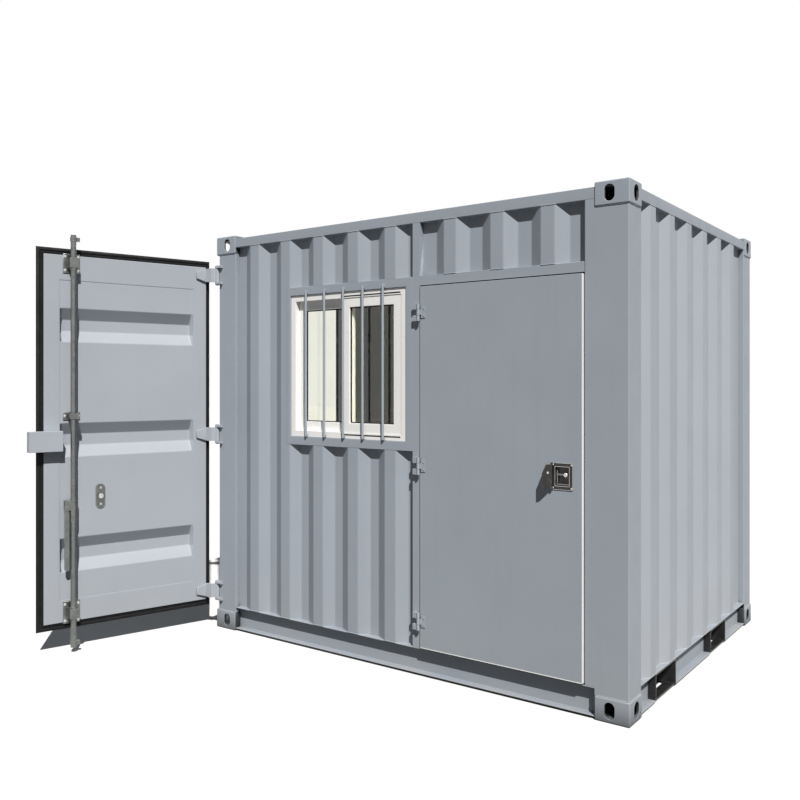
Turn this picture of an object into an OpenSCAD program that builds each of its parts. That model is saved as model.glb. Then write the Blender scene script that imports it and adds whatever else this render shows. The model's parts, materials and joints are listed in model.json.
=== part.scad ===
// Small container house: a welded steel container with cargo doors at one end,
// a personnel door and a barred sliding window in one long side.
// Millimetres. Origin: centre of the footprint, on the ground. +Z is up, the
// long side with the personnel door faces -Y and the cargo doors face -X.

/* [Overall] */
// Length over the corner castings
length = 2850; // [2700:10:3600]
// Width over the corner castings
width = 2240; // [2150:10:2700]
// Height over the corner castings
height = 2591; // [2560:1:3200]
// How far the welded frame stands in from the faces of the castings
frame_in = 6; // [3:1:10]

/* [Corner castings] */
// Length of a casting along the container
cast_x = 178; // [170:1:190]
// Width of a casting across the container
cast_y = 162; // [150:1:175]
// Height of a casting
cast_z = 118; // [110:1:130]
// Thickness of a casting's top and bottom
cast_plate = 28; // [20:1:32]
// Thickness of a casting's sides
cast_side = 14; // [10:1:20]
// Length of the lock slot in the top or bottom of a casting
slot_len = 124; // [110:1:130]
// Width of the lock slot
slot_w = 63.5; // [50:0.5:70]
// Distance from the end of the container to the middle of the lock slot
slot_from_end = 101.5; // [95:0.5:105]
// Distance from the side of the container to the middle of the lock slot
slot_from_side = 89; // [80:0.5:95]
// Height of the holes in the upright faces of a casting
face_hole_h = 79.5; // [60:0.5:85]
// Width of the hole in the long-side face
side_hole_w = 51; // [40:0.5:60]
// Width of the hole in the end face
end_hole_w = 63.5; // [45:0.5:70]

/* [Posts and rails] */
// Width of the front right post on the door side
front_post_w = 230; // [200:5:260]
// Width of the other post faces
post_w = 168; // [140:2:178]
// Steel thickness of the posts
post_t = 6; // [4:1:8]
// Depth of the folded edges of a post
post_fold = 44; // [40:1:60]
// Distance from the side of the container to the inner face of a door end post's plate
jamb_y = 14; // [13:1:18]
// Distance from the door end to the stop step of a door end post
stop_x = 124; // [120:1:140]
// Depth of a door end post behind its step
stop_y = 60; // [50:1:70]
// Distance from the door end to the outer face of a door end post
jamb_x = 22; // [22:1:32]
// Bottom of the bottom rails above the ground
rail_z = 12.5; // [10:0.5:20]
// Top of the bottom rails above the ground
rail_top = 155; // [150:1:170]
// Depth of the bottom rail channel
rail_d = 48; // [44:1:60]
// Steel thickness of the bottom rails
rail_t = 6; // [4:1:8]
// Height of the top rails
top_rail = 58; // [50:1:70]
// Steel thickness of the top rails, header and sill
tube_t = 4; // [3:1:6]
// Depth of the sill and header along the container
beam_depth = 82; // [70:1:100]
// How far the header's leaf stop hangs down
header_stop = 20; // [10:1:40]
// Distance of the roof sheet's edge from the outer face of the rails
weld_in = 10; // [6:1:14]
// How far the roof lies below the top of the castings
roof_drop = 21; // [20:1:30]

/* [Corrugated sheets] */
// Thickness of the wall and roof sheet
sheet_t = 2; // [1.5:0.5:3]
// Depth of the wall corrugation
wave_d = 36; // [24:1:40]
// Width of a flat outer crest
crest = 76; // [60:1:90]
// Width of a slope between crest and valley
slope = 68; // [50:1:72]
// Distance from the door end post to the first crest of the window wall
window_first = 136; // [120:1:150]
// Pitch of the corrugation in the window wall
window_pitch = 272; // [260:1:300]
// Pitch of the corrugation in the back wall
back_pitch = 278; // [260:1:300]
// Pitch of the corrugation in the closed end
end_pitch = 290; // [270:1:300]
// Distance from the front right post to the first crest of the closed end
end_first = 130; // [100:1:150]
// Pitch of the corrugation over the personnel door
lintel_pitch = 290; // [270:1:300]
// Pitch of the roof corrugation
roof_pitch = 209; // [190:1:230]
// Width of the top of a roof rib
roof_crest = 90; // [70:1:110]
// Width of the slope at the side of a roof rib
roof_slope = 20; // [16:1:30]
// Distance of the roof ribs' ends from the sides of the roof
roof_margin = 70; // [60:1:100]
// Height of the roof corrugation
roof_wave = 18; // [10:1:18]

/* [Floor] */
// Thickness of the floor boards
floor_t = 28; // [20:1:30]
// Number of cross beams
beam_n = 6; // [4:1:9]
// Width of a cross beam's flange
beam_w = 45; // [35:1:60]
// Height of a cross beam
beam_h = 122; // [100:1:125]
// Distance between the outer cross beams and the castings
beam_end = 30; // [5:1:80]
// Steel thickness of the cross beams
beam_t = 4; // [3:1:6]
// Width of a forklift pocket
pocket_w = 300; // [250:5:340]
// Distance between the middles of the forklift pockets
pocket_pitch = 945; // [850:5:1000]
// How far the pair of pockets stands off the middle, towards the front
pocket_off = 119; // [0:1:130]
// Steel thickness of a pocket
pocket_t = 6; // [4:1:8]
// Width of the strap under the mouth of a pocket
strap = 60; // [40:5:80]

/* [Personnel door] */
// Distance from the closed end to the free edge of the leaf
door_from_end = 236; // [236:1:260]
// Width of the leaf
door_w = 962; // [800:1:980]
// Height of the leaf
door_h = 1996; // [1900:1:2020]
// Thickness of the leaf
door_t = 40; // [35:1:45]
// How far the leaf stands out from the frame
door_proud = 8; // [4:1:30]
// Gap round the leaf
door_gap = 6; // [5:0.5:8]
// Width of the upright between door and window
mullion_w = 49; // [40:1:60]
// Height of the lintel over the door
lintel_h = 52; // [40:1:60]
// Depth of the door frame
doorframe_d = 50; // [45:1:60]
// Width of the door stop
stop_w = 20; // [12:1:25]
// Gap between the hinge knuckles and the leaf
knuckle_gap = 3; // [2:0.5:5]
// Radius of the hinge pins
pin_r = 5; // [4:0.5:7]
// Outer radius of the hinge knuckles
knuckle_r = 9; // [8:0.5:12]
// Thickness of a hinge's plates
hinge_plate = 6; // [5:0.5:8]
// Thickness of the hinge plate on the leaf
hinge_foot = 4; // [3:0.5:5]
// Reach of the fixed hinge bracket from the pin
butt_w = 36; // [30:1:44]
// Reach of the moving hinge plate from the pin
hinge_reach = 40; // [34:1:50]
// Height of a hinge
hinge_h = 96; // [80:1:120]
// Heights of the three hinges' middles above the bottom of the leaf
hinge_low = 147; // [100:1:200]
// Height of the middle hinge above the bottom of the leaf
hinge_mid = 1004; // [900:1:1100]
// Height of the top hinge above the bottom of the leaf
hinge_high = 1852; // [1750:1:1880]

/* [Latch] */
// Width of the latch plate
latch_w = 113; // [100:1:124]
// Height of the latch plate
latch_h = 133; // [110:1:150]
// Thickness of the latch plate
latch_t = 3; // [2:0.5:5]
// Depth of the latch dish
dish_d = 20; // [12:1:26]
// Distance from the leaf's free edge to the latch plate
latch_edge = 50; // [30:1:60]
// Height of the latch's middle above the bottom of the leaf
latch_up = 1001; // [900:1:1100]
// Width of the plate beside the latch dish
dish_side = 12; // [10:1:16]
// Height of the plate above and below the latch dish
dish_end = 17; // [14:1:22]
// Steel thickness of the latch dish
pan = 2; // [1.5:0.5:3]
// Radius of the lock barrel in the latch dish
barrel_lock_r = 11; // [8:1:14]
// Distance from the plate's left edge to the flap's pin
flap_pin_in = 2; // [1:0.5:4]
// Distance of the flap's pin out from the latch plate
flap_pin_out = 8; // [7:0.5:9]
// Radius of the flap's pin
flap_pin_r = 2.5; // [2:0.5:3]
// Outer radius of the flap's knuckle
flap_knuckle_r = 5; // [4:0.5:5.5]
// Height of the ears that hold the flap's pin
ear_h = 8; // [6:1:10]
// Corner cut off the bottom of the flap's free edge
flap_corner = 12; // [6:1:16]
// Width of the slope at the top of the flap's free edge
flap_slope_w = 22; // [10:1:50]
// Height of the slope at the top of the flap's free edge
flap_slope_h = 44; // [30:1:60]
// Length of the latch flap from its pin
flap_w = 52; // [40:1:96]
// Angle at which the flap stands open
flap_open = 125; // [60:1:150]

/* [Window] */
// Width of the wall opening for the window, over its steel surround
win_w = 962; // [800:1:1000]
// Height of the wall opening for the window, over its steel surround
win_h = 973; // [800:1:1000]
// Width of the steel surround at the top and bottom
surround_h = 52; // [40:1:60]
// Width of the steel surround at the right
surround_r = 47; // [30:1:60]
// Width of the steel surround at the left
surround_l = 33; // [25:1:60]
// Width of the white outer frame
frame_w = 38; // [30:1:50]
// Depth of the white outer frame
frame_d = 62; // [56:1:70]
// How far the white frame stands behind the face of the surround
frame_back = 8; // [2:1:15]
// Width of a sash stile
stile = 55; // [45:1:65]
// Thickness of a sash
sash_t = 24; // [20:1:27]
// How far the front sash stands behind the face of the white frame
track_in = 4; // [2:1:6]
// Gap between the two sashes
track_gap = 3; // [2:0.5:5]
// Overlap of the two sashes
sash_lap = 62; // [50:1:70]
// Thickness of the glass
glass_t = 5; // [4:1:6]

/* [Cargo doors] */
// Angle at which the front cargo leaf stands open
leaf_open = 163.5; // [0:0.5:260]
// Distance of the hinge pins from the two faces of the corner
pin_in = 4; // [2:1:8]
// Distance from the hinge pin to the steel edge of the leaf
leaf_u = 52; // [44:1:60]
// Gap between the steel edges of the two leaves
leaf_gap = 56; // [40:1:60]
// Distance from the hinge pin back to the outer face of the leaf
leaf_back = 62; // [60:1:70]
// How far the sill and header stand behind the outer face of the leaves
beam_back = 2; // [1:0.5:4]
// Thickness of the leaf
leaf_t = 50; // [40:1:52]
// Bottom of the leaf above the ground
leaf_z = 177; // [170:1:200]
// Gap between the top of the leaf and the top of the castings
leaf_top_drop = 195; // [190:1:230]
// Width of the leaf's upright members
leaf_stile = 90; // [80:1:120]
// Height of the leaf's top member
leaf_rail_top = 150; // [120:1:180]
// Height of the leaf's bottom member
leaf_rail_low = 133; // [100:1:160]
// Height of a pressed rib in the leaf
rib_h = 206; // [190:1:230]
// Height of the flat in the middle of a rib
rib_flat = 68; // [50:1:80]
// Depth of a rib
rib_d = 42; // [24:1:44]
// How far the pressed sheet lies behind the face of the leaf
seam = 2; // [1:0.5:4]
// Height of the lowest rib's middle above the bottom of the leaf
rib_low = 405; // [360:1:450]
// Pitch of the ribs
rib_pitch = 696; // [600:1:720]
// Number of ribs
rib_n = 3; // [1:1:3]
// Width of the gasket's lip at the hinge side
lip_u = 31; // [24:1:34]
// Width of the gasket's lip at the top and bottom
lip_z = 42; // [20:1:44]
// Width of the front leaf's gasket lip at the free edge
lip_free = 40; // [20:1:40]
// Width of the rear leaf's gasket lip at the free edge
lip_rear = 6; // [4:1:8]
// Thickness of the gasket's lip
lip_t = 26; // [15:1:30]
// How far the gasket's lip lies behind the face of the leaf
lip_back = 8; // [4:1:12]

/* [Cargo door hinges] */
// Radius of the cargo door hinge pins
big_pin_r = 10; // [8:0.5:12]
// Outer radius of the hinge barrels
barrel_r = 16; // [14:0.5:17]
// Height of a hinge blade at its root
blade_h = 90; // [70:1:100]
// Height of a hinge blade at its tip
blade_tip = 46; // [30:1:60]
// Reach of a hinge blade from its pin
blade_len = 124; // [115:1:150]
// Distance from the pin to the crank of a hinge blade
crank_u = 30; // [24:1:36]
// Thickness of a hinge blade
blade_t = 15; // [12:1:16]
// How much farther out the inner side of a blade's first bend is
blade_bend_in = 10.5; // [8:0.5:12]
// The same for its second bend
blade_bend_out = 12; // [8:0.5:14]
// How far a hinge lug wraps onto the long-side face of the post
lug_wrap = 34; // [20:1:50]
// How far a hinge pin stands out of its lugs
pin_end = 4; // [2:1:8]
// Height of a hinge lug
lug_h = 16; // [12:1:20]
// Height of the low blade's middle above the bottom of the leaf
blade_low = 65; // [60:1:120]
// Height of the middle blade above the bottom of the leaf
blade_mid = 1106; // [1000:1:1200]
// Distance of the top blade's middle below the top of the leaf
blade_high = 55; // [50:1:120]

/* [Locking bars] */
// Radius of a locking bar
rod_r = 17; // [14:0.5:19]
// Distance from the free edge of the leaf to the locking bar
rod_edge = 159; // [150:1:200]
// Distance from the face of the leaf out to the middle of the bar
rod_out = 45; // [40:1:48]
// Bottom end of the locking bar above the ground
rod_z = 33; // [25:1:45]
// Distance of the bar's top end below the top of the castings
rod_top_drop = 77; // [70:1:90]
// Height of the low guide's middle above the bottom of the leaf
guide_low = 60; // [50:1:90]
// Height of the middle guide above the bottom of the leaf
guide_mid = 1247; // [1200:1:1300]
// Distance of the top guide's middle below the top of the leaf
guide_high = 50; // [40:1:90]
// Height of the low guide's plate
guide_low_h = 132; // [110:1:140]
// Height of the middle guide's plate
guide_mid_h = 44; // [40:1:60]
// Height of the top guide's plate
guide_high_h = 116; // [100:1:130]
// Half the width of a guide's plate
guide_half = 50; // [44:1:56]
// Thickness of a guide's plate
guide_t = 6; // [5:0.5:8]
// Height of the saddle of the low and top guides
saddle_h = 60; // [50:1:70]
// Steel of a saddle at the sides of the bar
saddle_side = 8; // [6:1:10]
// Steel of a saddle in front of the bar
saddle_front = 7; // [5:0.5:8]
// Distance from the locking bar to the handle catch
catch_in = 175; // [150:1:220]
// Height of the catch's middle above the handle's pin
catch_up = 45; // [20:1:80]
// Height of the oval catch plate
catch_h = 150; // [130:1:170]
// Width of the oval catch plate
catch_w = 58; // [50:1:70]
// How far the catch's lock barrel stands out
catch_barrel = 12; // [8:1:16]
// Radius of the catch's lock barrel
catch_barrel_r = 16; // [12:1:20]
// Distance between the two bosses of the catch
catch_boss_pitch = 100; // [90:1:110]
// Radius of the bosses of the catch
catch_boss_r = 10; // [8:1:12]
// Reach of a cam from the middle of the bar
cam_r = 38; // [34:1:40]
// Thickness of a cam
cam_t = 18; // [14:1:20]
// Height of a cam
cam_h = 24; // [18:1:30]
// Radius of a cam's boss on the bar
cam_boss_r = 20; // [19.5:0.5:24]
// Distance of a cam from the end of its bar
cam_end = 14; // [10:1:20]
// Room above and below a cam in its keeper
keeper_room = 8; // [6:1:10]
// Thickness of a keeper's base plate
keeper_base = 3; // [2:0.5:4]
// Thickness of a keeper's cheek
keeper_cheek = 11; // [8:1:12]
// Thickness of a keeper's lip
keeper_lip = 8; // [6:1:10]
// Gap between a keeper's lip and the locking bar
keeper_lip_gap = 10; // [6:1:14]
// Height of the handle hub's bottom above the bottom of the leaf
hub_z = 610; // [560:1:700]
// Height of the handle hub
hub_h = 134; // [100:1:150]
// Distance of the handle's pin below the top of the hub
handle_drop = 40; // [36:1:50]
// Thickness of the hub round the bar
hub_t = 5; // [4:0.5:7]
// Thickness of a collar round the bar
collar_t = 4; // [3:0.5:5]
// Height of a collar
collar_h = 10; // [8:1:14]
// Thickness of the fork that holds the handle
fork_t = 6; // [5:0.5:8]
// How far the fork reaches below the handle's pin
fork_below = 22; // [18:1:28]
// How far the fork reaches beyond the handle's pin
fork_beyond = 14; // [11:1:18]
// How far the handle's pin stands out of the fork
pin_head = 3; // [2:0.5:4]
// Distance from the middle of the bar to the handle's pin
handle_u = 40; // [36:1:46]
// Length of the handle below its pin
handle_len = 387; // [300:1:420]
// Width of the handle
handle_w = 26; // [20:1:30]
// Thickness of the handle
handle_t = 10; // [8:1:14]
// Radius of the handle's pin
handle_pin_r = 5; // [4:0.5:6]
// Height of the lock box
box_h = 122; // [100:1:140]
// Width of the lock box on its own leaf
box_on = 96; // [96:1:112]
// How far the lock box reaches past the free edge
box_off = 97; // [80:1:110]
// Depth of the lock box
box_d = 58; // [50:1:60]
// Steel thickness of the lock box
box_t = 4; // [3:0.5:5]
// Height of the lock box's bottom above the bottom of the leaf
box_up = 1037; // [1000:1:1100]

/* [Clearances] */
// Radial clearance of a pin or bar in its hole
run_fit = 0.08; // [0.05:0.01:0.1]
// Axial gap beside a knuckle or barrel
end_gap = 1; // [0.5:0.1:2]
// Gap left where a part is seated against another
seat = 0.3; // [0.2:0.1:0.5]
// Gap between moving parts
swing_gap = 6; // [5:0.5:8]
// Gap between a leaf's gasket and the sill or header
lip_gap = 8; // [6:0.5:12]

/* [Hidden] */
$fn = 48;

steel = [0.60, 0.63, 0.67];
pale_steel = [0.72, 0.75, 0.79];
rubber = [0.06, 0.06, 0.065];
galvanised = [0.62, 0.64, 0.60];
black_steel = [0.10, 0.10, 0.11];
plastic = [0.93, 0.94, 0.94];
glass_tint = [0.55, 0.62, 0.66, 0.5];
boards = [0.62, 0.50, 0.36];

x0 = -length / 2;
x1 = length / 2;
y0 = -width / 2;
y1 = width / 2;
yf = y0 + frame_in;
yb = y1 - frame_in;
xe = x1 - frame_in;

cast_top = height - cast_z;
roof_z = height - roof_drop;
wall_top = roof_z - top_rail;
floor_z = rail_top - rail_t;
floor_top = floor_z + floor_t;
over = 1;

// Door end: the sill and header stand behind the leaves' outer face
beam_x = x0 + leaf_back + pin_in + beam_back;
sill_top = leaf_z - lip_z - lip_gap;
leaf_h = height - leaf_top_drop - leaf_z;
header_z = leaf_z + leaf_h + lip_z + lip_gap;
floor_x = beam_x + beam_depth;
floor_y = yf + max(rail_d, doorframe_d);

// Window wall: distances are measured from the closed end towards the cargo doors
door_right = x1 - door_from_end;
door_left = door_right - door_w;
door_z = rail_top + door_gap;
door_face = yf - door_proud;
mullion_x = door_left - door_gap - mullion_w;
lintel_z = door_z + door_h + door_gap;
hinge_x = door_left - door_gap / 2;
hinge_y = door_face - knuckle_r - knuckle_gap;
win_x = mullion_x - win_w;
win_z = lintel_z + lintel_h - win_h;
pane_x = win_x + surround_l;
pane_z = win_z + surround_h;
pane_w = win_w - surround_l - surround_r;
pane_h = win_h - 2 * surround_h;

// Cargo leaf, in its own frame: the hinge pin is at the origin, the closed
// leaf runs along +Y and its outer face looks along -X
leaf_w = width / 2 - pin_in - leaf_u - leaf_gap / 2;
leaf_end = leaf_u + leaf_w;
rod_y = leaf_end - rod_edge;
rod_x = leaf_back - rod_out;
rod_end = height - rod_top_drop;
blade_zs = [leaf_z + blade_low, leaf_z + blade_mid, leaf_z + leaf_h - blade_high];
rib_zs = [for (k = [0 : rib_n - 1]) leaf_z + rib_low + k * rib_pitch];
cam_zs = [rod_z + cam_end, rod_end - cam_end - cam_h];
guide_zs = [leaf_z + guide_low, leaf_z + guide_mid, leaf_z + leaf_h - guide_high];
handle_z = leaf_z + hub_z + hub_h - handle_drop;
hinge_zs = [door_z + hinge_low, door_z + hinge_mid, door_z + hinge_high];

// A block from one corner to the opposite one
module block(a, b) {
  translate(a) cube(b - a);
}

// A round-ended slot along X, cut downwards through z = 0 .. h
module slot_x(l, w, h) {
  translate([-(l - w) / 2, -w / 2, 0]) cube([l - w, w, h]);
  for (s = [-1, 1])
    translate([s * (l - w) / 2, 0, 0]) cylinder(d = w, h = h);
}

// Copies the children at the front and at the back of the container
module both_sides() {
  children();
  mirror([0, 1, 0]) children();
}

// Copies the children at both ends of the container
module both_ends() {
  children();
  mirror([1, 0, 0]) children();
}

// One hollow corner casting with its lock slot at the bottom, at the -X -Y corner
module casting() {
  difference() {
    translate([x0, y0, 0]) cube([cast_x, cast_y, cast_z]);
    block([x0 + cast_side, y0 + cast_side, cast_plate],
          [x0 + cast_x - cast_side, y0 + cast_y - cast_side, cast_z - cast_side]);
    translate([x0 + slot_from_end, y0 + slot_from_side, -over])
      slot_x(slot_len, slot_w, cast_plate + 2 * over);
    translate([x0 + slot_from_end, y0 - over, cast_z / 2])
      rotate([0, 90, 90]) slot_x(face_hole_h, side_hole_w, cast_side + 2 * over);
    translate([x0 - over, y0 + slot_from_side, cast_z / 2])
      rotate([0, 90, 0]) slot_x(face_hole_h, end_hole_w, cast_side + 2 * over);
  }
}

module bottom_castings() {
  color(steel) both_ends() both_sides() casting();
}

module top_castings() {
  color(steel) translate([0, 0, height]) mirror([0, 0, 1])
    both_ends() both_sides() casting();
}

// A folded corner post at the closed end, wider or narrower on its long side
module corner_post(w) {
  block([x1 - cast_x, yf, cast_z], [xe, yf + post_t, cast_top]);
  block([xe - post_t, yf, cast_z], [xe, y0 + cast_y, cast_top]);
  if (w > cast_x) {
    block([x1 - w, yf, rail_top], [x1 - cast_x, yf + post_t, wall_top]);
    block([x1 - w, yf, rail_top], [x1 - w + post_t, yf + post_fold, wall_top]);
  } else {
    block([x1 - cast_x, yf, cast_z], [x1 - cast_x + post_t, yf + post_fold, cast_top]);
  }
  block([xe - post_t, y0 + cast_y, rail_top], [xe, y0 + post_w, wall_top]);
  block([xe - post_fold, y0 + post_w - post_t, rail_top], [xe, y0 + post_w, wall_top]);
}

module front_right_post() {
  color(steel) corner_post(front_post_w);
}

module back_right_post() {
  color(steel) mirror([0, 1, 0]) corner_post(cast_x);
}

// A door end post: an outer plate that the leaf closes behind, and a hollow step that stops it
module door_end_post() {
  plate_in = y0 + jamb_y;
  step_in = y0 + stop_y;
  post_end = x0 + cast_x;
  difference() {
    union() {
      block([x0 + jamb_x, yf, cast_z], [post_end, plate_in, cast_top]);
      block([x0 + stop_x, yf, cast_z], [post_end, step_in, cast_top]);
    }
    block([x0 + stop_x + tube_t, yf + tube_t, cast_z - over],
          [post_end - tube_t, step_in - tube_t, cast_top + over]);
  }
}

module door_end_posts() {
  color(steel) both_sides() door_end_post();
}

// An outward-facing channel along X from x = a to b, for the front
module side_channel(a, b) {
  difference() {
    block([a, yf, rail_z], [b, yf + rail_d, rail_top]);
    block([a - over, yf - over, rail_z + rail_t],
          [b + over, yf + rail_d - rail_t, rail_top - rail_t]);
  }
}

module bottom_side_rails() {
  color(steel) both_sides() side_channel(x0 + cast_x, x1 - cast_x);
}

// Space of the two forklift pockets, grown by g on each side
module pocket_space(g, x_from, x_to) {
  for (s = [-1, 1])
    translate([0, s * pocket_pitch / 2 - pocket_off, 0])
      block([x_from, -pocket_w / 2 - g, rail_z - over],
            [x_to, pocket_w / 2 + g, floor_z]);
}

module end_bottom_rail() {
  color(steel) difference() {
    block([xe - rail_d, y0 + cast_y, rail_z], [xe, y1 - cast_y, rail_top]);
    block([xe - rail_d + rail_t, y0 + cast_y - over, rail_z + rail_t],
          [xe + over, y1 - cast_y + over, rail_top - rail_t]);
    pocket_space(pocket_t, xe - rail_d - over, xe + over);
  }
}

// Each pocket is an open-bottomed steel trough with a strap under its mouth
module forklift_pockets() {
  color(black_steel) for (s = [-1, 1])
    translate([0, s * pocket_pitch / 2 - pocket_off, 0]) {
      difference() {
        block([floor_x, -pocket_w / 2 - pocket_t, rail_z], [xe, pocket_w / 2 + pocket_t, floor_z]);
        block([floor_x - over, -pocket_w / 2, rail_z - over],
              [xe + over, pocket_w / 2, floor_z - pocket_t]);
      }
      block([xe - strap, -pocket_w / 2 - over, rail_z],
            [xe - rail_t, pocket_w / 2 + over, rail_z + pocket_t]);
    }
}

// A hollow box beam along Y for the door end
module end_beam(z_low, z_high, y_in) {
  difference() {
    block([beam_x, y0 + y_in, z_low], [beam_x + beam_depth, y1 - y_in, z_high]);
    block([beam_x + tube_t, y0 + y_in - over, z_low + tube_t],
          [beam_x + beam_depth - tube_t, y1 - y_in + over, z_high - tube_t]);
  }
}

// Fills the corner between a door end post and the sill or header
module beam_corner(z_low, z_high) {
  block([x0 + stop_x, y0 + stop_y, z_low], [floor_x, y0 + cast_y, z_high]);
}

// Upstand that stops the leaves, between the door end posts
module leaf_stop(z_low, z_high) {
  block([x0 + stop_x, y0 + stop_y, z_low], [floor_x, y1 - stop_y, z_high]);
}

module door_sill() {
  color(steel) {
    end_beam(rail_z, sill_top, cast_y);
    both_sides() beam_corner(cast_z, sill_top);
    leaf_stop(sill_top, floor_top);
  }
}

module door_header() {
  color(steel) {
    end_beam(header_z, roof_z, cast_y);
    both_sides() beam_corner(header_z, cast_top);
    leaf_stop(header_z - header_stop, header_z);
  }
}

module top_side_rails() {
  color(steel) both_sides() difference() {
    block([x0 + cast_x, yf, wall_top], [x1 - cast_x, yf + top_rail, roof_z]);
    block([x0 + cast_x - over, yf + tube_t, wall_top + tube_t],
          [x1 - cast_x + over, yf + top_rail - tube_t, roof_z - tube_t]);
  }
}

module end_top_rail() {
  color(steel) difference() {
    block([xe - top_rail, y0 + cast_y, wall_top], [xe, y1 - cast_y, roof_z]);
    block([xe - top_rail + tube_t, y0 + cast_y - over, wall_top + tube_t],
          [xe - tube_t, y1 - cast_y + over, roof_z - tube_t]);
  }
}

// Cross beams are channels, interrupted where the forklift pockets pass
module floor_beams() {
  first = x0 + cast_x + beam_end;
  step = (x1 - cast_x - beam_end - beam_w - first) / (beam_n - 1);
  color(steel) difference() {
    for (k = [0 : beam_n - 1])
      translate([first + k * step, 0, 0]) difference() {
        block([0, yf + rail_d, floor_z - beam_h], [beam_w, yb - rail_d, floor_z]);
        block([beam_t, yf + rail_d - over, floor_z - beam_h + beam_t],
              [beam_w + over, yb - rail_d + over, floor_z - beam_t]);
      }
    pocket_space(pocket_t, x0, x1);
  }
}

module floor_boards() {
  color(boards) difference() {
    block([floor_x, floor_y, floor_z], [xe - rail_d, -floor_y, floor_top]);
    both_sides()
      block([x0, y0, floor_z - over], [x0 + cast_x, y0 + stop_y, floor_top + over]);
  }
}

// Number of crests of a given pitch that fit in a run of sheet
function crests(run, pitch) = floor((run - crest - 2 * slope) / pitch) + 1;

// Points of a corrugated line: it starts and ends in a valley at depth d
function wave(run, first, n, pitch, top, ramp, d) = concat(
  [[0, d]],
  [for (k = [0 : n - 1], p = [[-ramp, d], [0, 0], [top, 0], [top + ramp, d]])
    [first + k * pitch + p[0], p[1]]],
  [[run, d]]
);

// Outline of a corrugated sheet of thickness t
module wave_sheet(points, t) {
  n = len(points);
  polygon(concat(points, [for (k = [n - 1 : -1 : 0]) points[k] + [0, t]]));
}

module window_wall() {
  run = mullion_x - (x0 + cast_x);
  n = crests(run - window_first + slope, window_pitch);
  color(steel) difference() {
    translate([x0 + cast_x, yf, rail_top]) linear_extrude(wall_top - rail_top)
      wave_sheet(wave(run, window_first, n, window_pitch, crest, slope, wave_d), sheet_t);
    block([win_x, yf - over, win_z], [mullion_x + over, yf + wave_d + sheet_t + over, win_z + win_h]);
  }
}

module lintel_panel() {
  left = mullion_x + mullion_w;
  run = x1 - front_post_w - left;
  n = crests(run, lintel_pitch);
  color(steel) translate([left, yf, lintel_z + lintel_h])
    linear_extrude(wall_top - lintel_z - lintel_h)
      wave_sheet(wave(run, (run - (n - 1) * lintel_pitch - crest) / 2, n, lintel_pitch,
                      crest, slope, wave_d), sheet_t);
}

module back_wall() {
  run = length - 2 * cast_x;
  n = crests(run, back_pitch);
  color(steel) mirror([0, 1, 0]) translate([x0 + cast_x, yf, rail_top])
    linear_extrude(wall_top - rail_top)
      wave_sheet(wave(run, (run - (n - 1) * back_pitch - crest) / 2, n, back_pitch,
                      crest, slope, wave_d), sheet_t);
}

module end_wall() {
  run = width - 2 * post_w;
  n = crests(run - end_first + slope, end_pitch);
  color(pale_steel) translate([xe, y0 + post_w, rail_top]) rotate([0, 0, 90])
    linear_extrude(wall_top - rail_top)
      wave_sheet(wave(run, end_first, n, end_pitch, crest, slope, wave_d), sheet_t);
}

// One raised rib of the roof, from the back to the front, thinner by g on every side
module roof_rib(x, g) {
  side = roof_margin + frame_in + g;
  translate([x, y1 - side, roof_z]) rotate([90, 0, 0]) linear_extrude(width - 2 * side)
    polygon([[g - roof_slope, g > 0 ? -over : 0], [g - roof_slope, 0], [g, roof_wave - g],
             [roof_crest - g, roof_wave - g], [roof_crest + roof_slope - g, 0],
             [roof_crest + roof_slope - g, g > 0 ? -over : 0]]);
}

// The roof is pressed with closed ribs across its width
module roof_sheet() {
  left = beam_x + weld_in;
  right = xe - weld_in;
  n = floor((right - left - 2 * roof_margin - roof_crest) / roof_pitch) + 1;
  first = left + (right - left - (n - 1) * roof_pitch - roof_crest) / 2;
  color(steel) difference() {
    union() {
      block([left, yf + weld_in, roof_z], [right, yb - weld_in, roof_z + sheet_t]);
      for (k = [0 : n - 1])
        roof_rib(first + k * roof_pitch, 0);
    }
    for (k = [0 : n - 1])
      roof_rib(first + k * roof_pitch, sheet_t);
    both_ends() both_sides()
      block([x0 - over, y0 - over, roof_z - over],
            [x0 + cast_x + sheet_t, y0 + cast_y + sheet_t, height + over]);
  }
}

// Upright, lintel, threshold and stops round the personnel door
module personnel_doorway() {
  right = x1 - front_post_w;
  left = mullion_x + mullion_w;
  stop_face = door_face + door_t + swing_gap;
  back = yf + doorframe_d;
  color(steel) {
    block([mullion_x, yf, rail_top], [left, back, wall_top]);
    block([left - over, yf, lintel_z], [right, back, lintel_z + lintel_h]);
    block([left - over, stop_face, rail_top], [left + stop_w, back, lintel_z + over]);
    block([right - stop_w, stop_face, rail_top], [right, back, lintel_z + over]);
    block([left, stop_face, rail_top], [right, yf + rail_d, floor_top]);
    block([left, stop_face, lintel_z - stop_w], [right, back, lintel_z + over]);
  }
}

module window_surround() {
  color(steel) difference() {
    block([win_x, yf, win_z], [mullion_x, yf + doorframe_d, win_z + win_h]);
    block([pane_x, yf - over, pane_z], [pane_x + pane_w, yf + doorframe_d + over, pane_z + pane_h]);
  }
}

// A rectangular ring in the plane of the front wall
module ring(x, y, z, w, d, h, m) {
  difference() {
    block([x, y, z], [x + w, y + d, z + h]);
    block([x + m, y - over, z + m], [x + w - m, y + d + over, z + h - m]);
  }
}

sash_w = (pane_w - 2 * frame_w + sash_lap) / 2;
sash_h = pane_h - 2 * frame_w;
sash_y = [yf + frame_back + track_in, yf + frame_back + track_in + sash_t + track_gap];
sash_x = [pane_x + pane_w - frame_w - sash_w, pane_x + frame_w];

module window_frame() {
  color(plastic) ring(pane_x, yf + frame_back, pane_z, pane_w, frame_d, pane_h, frame_w);
}

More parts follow.
